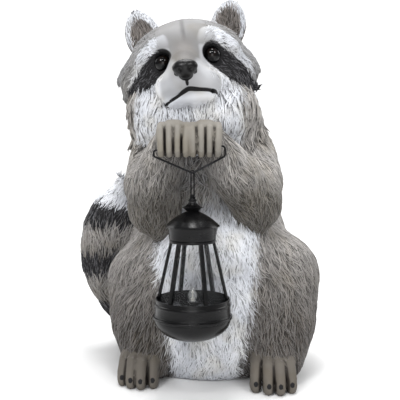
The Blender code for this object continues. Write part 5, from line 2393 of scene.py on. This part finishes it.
@dataclass
class Hanger:
    """The wire bail through the paws and the long link that the lantern hangs from."""

    grip: Vector
    half: float = 0.0280
    tilt: float = math.radians(3.5)
    wire: float = 0.0018
    link_wire: float = 0.0012
    gap: float = 0.0003
    reach: float = 0.0030
    drop: float = 0.0215
    turns: tuple[float, float] = (0.0052, 0.0088)
    bend: float = 0.0021
    lean: float = 0.0027
    link_length: float = 0.0225
    link_half: float = 0.0029
    link_bend: float = 0.0013
    arc_steps: int = 8

    def rounded(self, corners: list[Vector], radius: float) -> list[Vector]:
        """A closed path through the corners, each rounded.

        Args:
            corners: the corners in order.
            radius: of the rounding.

        Returns:
            The points of the path, in order.
        """
        points = []
        for index, corner in enumerate(corners):
            before = (corners[index - 1] - corner).normalized()
            after = (corners[(index + 1) % len(corners)] - corner).normalized()
            half = before.angle(after) / 2
            centre = corner + (before + after).normalized() * (radius / math.sin(half))
            start = corner + before * (radius / math.tan(half)) - centre
            end = corner + after * (radius / math.tan(half)) - centre
            sweep = start.angle(end)
            for step in range(self.arc_steps + 1):
                share = step / self.arc_steps
                arm = start * math.sin((1 - share) * sweep) + end * math.sin(share * sweep)
                points.append(centre + arm / math.sin(sweep))
        return points

    def bail_points(self) -> list[Vector]:
        """The bail's centre line: through the paws, down a little at each end, then in to a point.

        Returns:
            The points of the line, in order.
        """
        run = Vector((math.cos(self.tilt), 0, math.sin(self.tilt))) * (self.half + self.reach)
        left, right = self.grip - run, self.grip + run
        corners = [left - Vector((0, 0, self.turns[0])), left, right, right - Vector((0, 0, self.turns[1])),
                   self.grip + Vector((self.lean, 0, -self.drop))]
        return self.rounded(corners, self.bend)

    def link_points(self) -> list[Vector]:
        """The link's centre line, hung on the bail's lowest point and a little turned.

        Returns:
            The points of the line, in order.
        """
        low = min(self.bail_points(), key=lambda point: point.z)
        top = low + Vector((0, 0, self.wire / 2 + self.gap + self.link_wire / 2))
        corners = [Vector((0, side * self.link_half, height)) for side, height in
                   ((1, 0), (1, -self.link_length), (-1, -self.link_length), (-1, 0))]
        turn = Matrix.Rotation(LINK_TURN, 3, "Z")
        return [top + turn @ point for point in self.rounded(corners, self.link_bend)]

    def loop(self, name: str, points: list[Vector], thickness: float, finish: bpy.types.Material
             ) -> bpy.types.Object:
        """A closed loop of round wire.

        Args:
            name: the object's name.
            points: its centre line.
            thickness: the wire's diameter.
            finish: the material.

        Returns:
            The object, in its place.
        """
        curve = bpy.data.curves.new(name, "CURVE")
        curve.dimensions = "3D"
        curve.bevel_depth = thickness / 2
        curve.bevel_resolution = 4
        spline = curve.splines.new("POLY")
        spline.points.add(len(points) - 1)
        for point, place in zip(spline.points, points):
            point.co = (*place, 1)
        spline.use_cyclic_u = True
        spline.use_smooth = True
        return painted(linked(name, curve), finish)

    def build(self) -> list[bpy.types.Object]:
        """Makes the bail and the link.

        Returns:
            The pieces.
        """
        bail = self.loop("bail", self.bail_points(), self.wire, Wire("black_bail").build())
        link = self.loop("link", self.link_points(), self.link_wire, Wire("worn_link", shine=0.22).build())
        for obj, node in ((bail, "bail_wire"), (link, "hanging_link")):
            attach(obj, "root")
            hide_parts(node)
        return [bail, link]


@dataclass
class Studio:
    """A pale floor that sweeps up into a pale wall, soft light and the camera at the photograph's angle."""

    shift: Vector
    picture: int = 400
    focal_pixels: float = 620.0
    eye_point: Point = (0.0, -0.663, 0.217)
    pitch: float = math.radians(-3.87)
    sky: float = 0.32
    sensor: float = 36.0
    wall: float = 1.1
    sweep: float = 0.5
    half_width: float = 8.0
    wall_height: float = 6.0
    lamps: tuple = (("key", (-0.62, -1.15, 1.20), 0.42, 9.5), ("second", (0.72, -1.05, 1.10), 0.42, 6.0),
                    ("top", (0.0, -0.21, 1.45), 0.24, 4.5), ("glint", (-0.06, -0.95, 1.15), 0.07, 1.8),
                    ("low", (0.0, -1.30, 0.30), 0.60, 2.5), ("rim_left", (-1.1, 0.5, 0.9), 0.6, 4.0),
                    ("rim_right", (1.1, 0.5, 0.9), 0.6, 4.0))

    def lamp(self, name: str, place: Point, size: float, power: float, aim: Point = (0, 0, 0.2)) -> None:
        """One soft square light, turned towards a point.

        Args:
            name: the lamp's name.
            place: where it stands.
            size: how wide it is.
            power: in watts.
            aim: what it points at.
        """
        light = bpy.data.lights.new(name, "AREA")
        light.size = size
        light.energy = power
        obj = linked(name, light)
        obj.location = place
        obj.rotation_euler = (Vector(aim) - obj.location).to_track_quat("-Z", "Y").to_euler()

    def backdrop(self) -> bpy.types.Object:
        """The floor and wall as one smooth sheet.

        Returns:
            The object.
        """
        bm = bmesh.new()
        turns = [math.pi / 2 * step / 16 for step in range(17)]
        line = [(-self.half_width, 0.0)]
        line += [(self.wall + self.sweep * math.sin(a), self.sweep * (1 - math.cos(a))) for a in turns]
        line.append((self.wall + self.sweep, self.wall_height))
        rows = [[bm.verts.new((x, y, z)) for x in (-self.half_width, self.half_width)] for y, z in line]
        for lower, upper in zip(rows[:-1], rows[1:]):
            bm.faces.new((lower[0], lower[1], upper[1], upper[0]))
        mesh = bpy.data.meshes.new("floor")
        bm.to_mesh(mesh)
        bm.free()
        mesh.shade_smooth()
        return painted(linked("floor", mesh), Ground().build())

    def build(self) -> None:
        """Makes floor, lights and camera."""
        self.backdrop()
        world = bpy.data.worlds.new("studio")
        world.use_nodes = True
        back = world.node_tree.nodes["Background"]
        back.inputs["Color"].default_value = (0.97, 0.98, 1.0, 1)
        back.inputs["Strength"].default_value = self.sky
        bpy.context.scene.world = world
        for name, place, size, power in self.lamps:
            self.lamp(name, place, size, power)
        self.lamp("wall_light", (0, 0.55, 1.9), 1.2, 30, (0, self.wall + self.sweep, 0.3))
        camera = bpy.data.cameras.new("camera")
        camera.sensor_width = self.sensor
        camera.lens = self.sensor * self.focal_pixels / self.picture
        camera.clip_start = 0.01
        obj = linked("camera", camera)
        obj.location = Vector(self.eye_point) + self.shift
        obj.rotation_euler = (math.radians(90) + self.pitch, 0, 0)
        bpy.context.scene.camera = obj
        bpy.context.scene.view_settings.view_transform = "Standard"


def main() -> None:
    """Builds the scene's parts in order and logs each piece."""
    logging.basicConfig(level=logging.INFO, format="%(message)s")
    form = Animal()
    low, high = (Vector(corner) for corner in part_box("lantern_band"))
    axis = (low + high) / 2
    grip = Vector((sum(form.paws) / 2, -form.reach, form.grip_height)) / UNITS
    shift = Vector((axis.x - grip.x - Hanger.lean, axis.y - grip.y, 0))
    Studio(shift).build()
    pieces = Raccoon(form, shift).build()
    pieces += Lantern(Vector((axis.x, axis.y, low.z))).build()
    pieces += Hanger(grip + shift).build()
    for piece in pieces:
        log.info("piece: %s", piece.name)


if __name__ == "__main__":
    main()
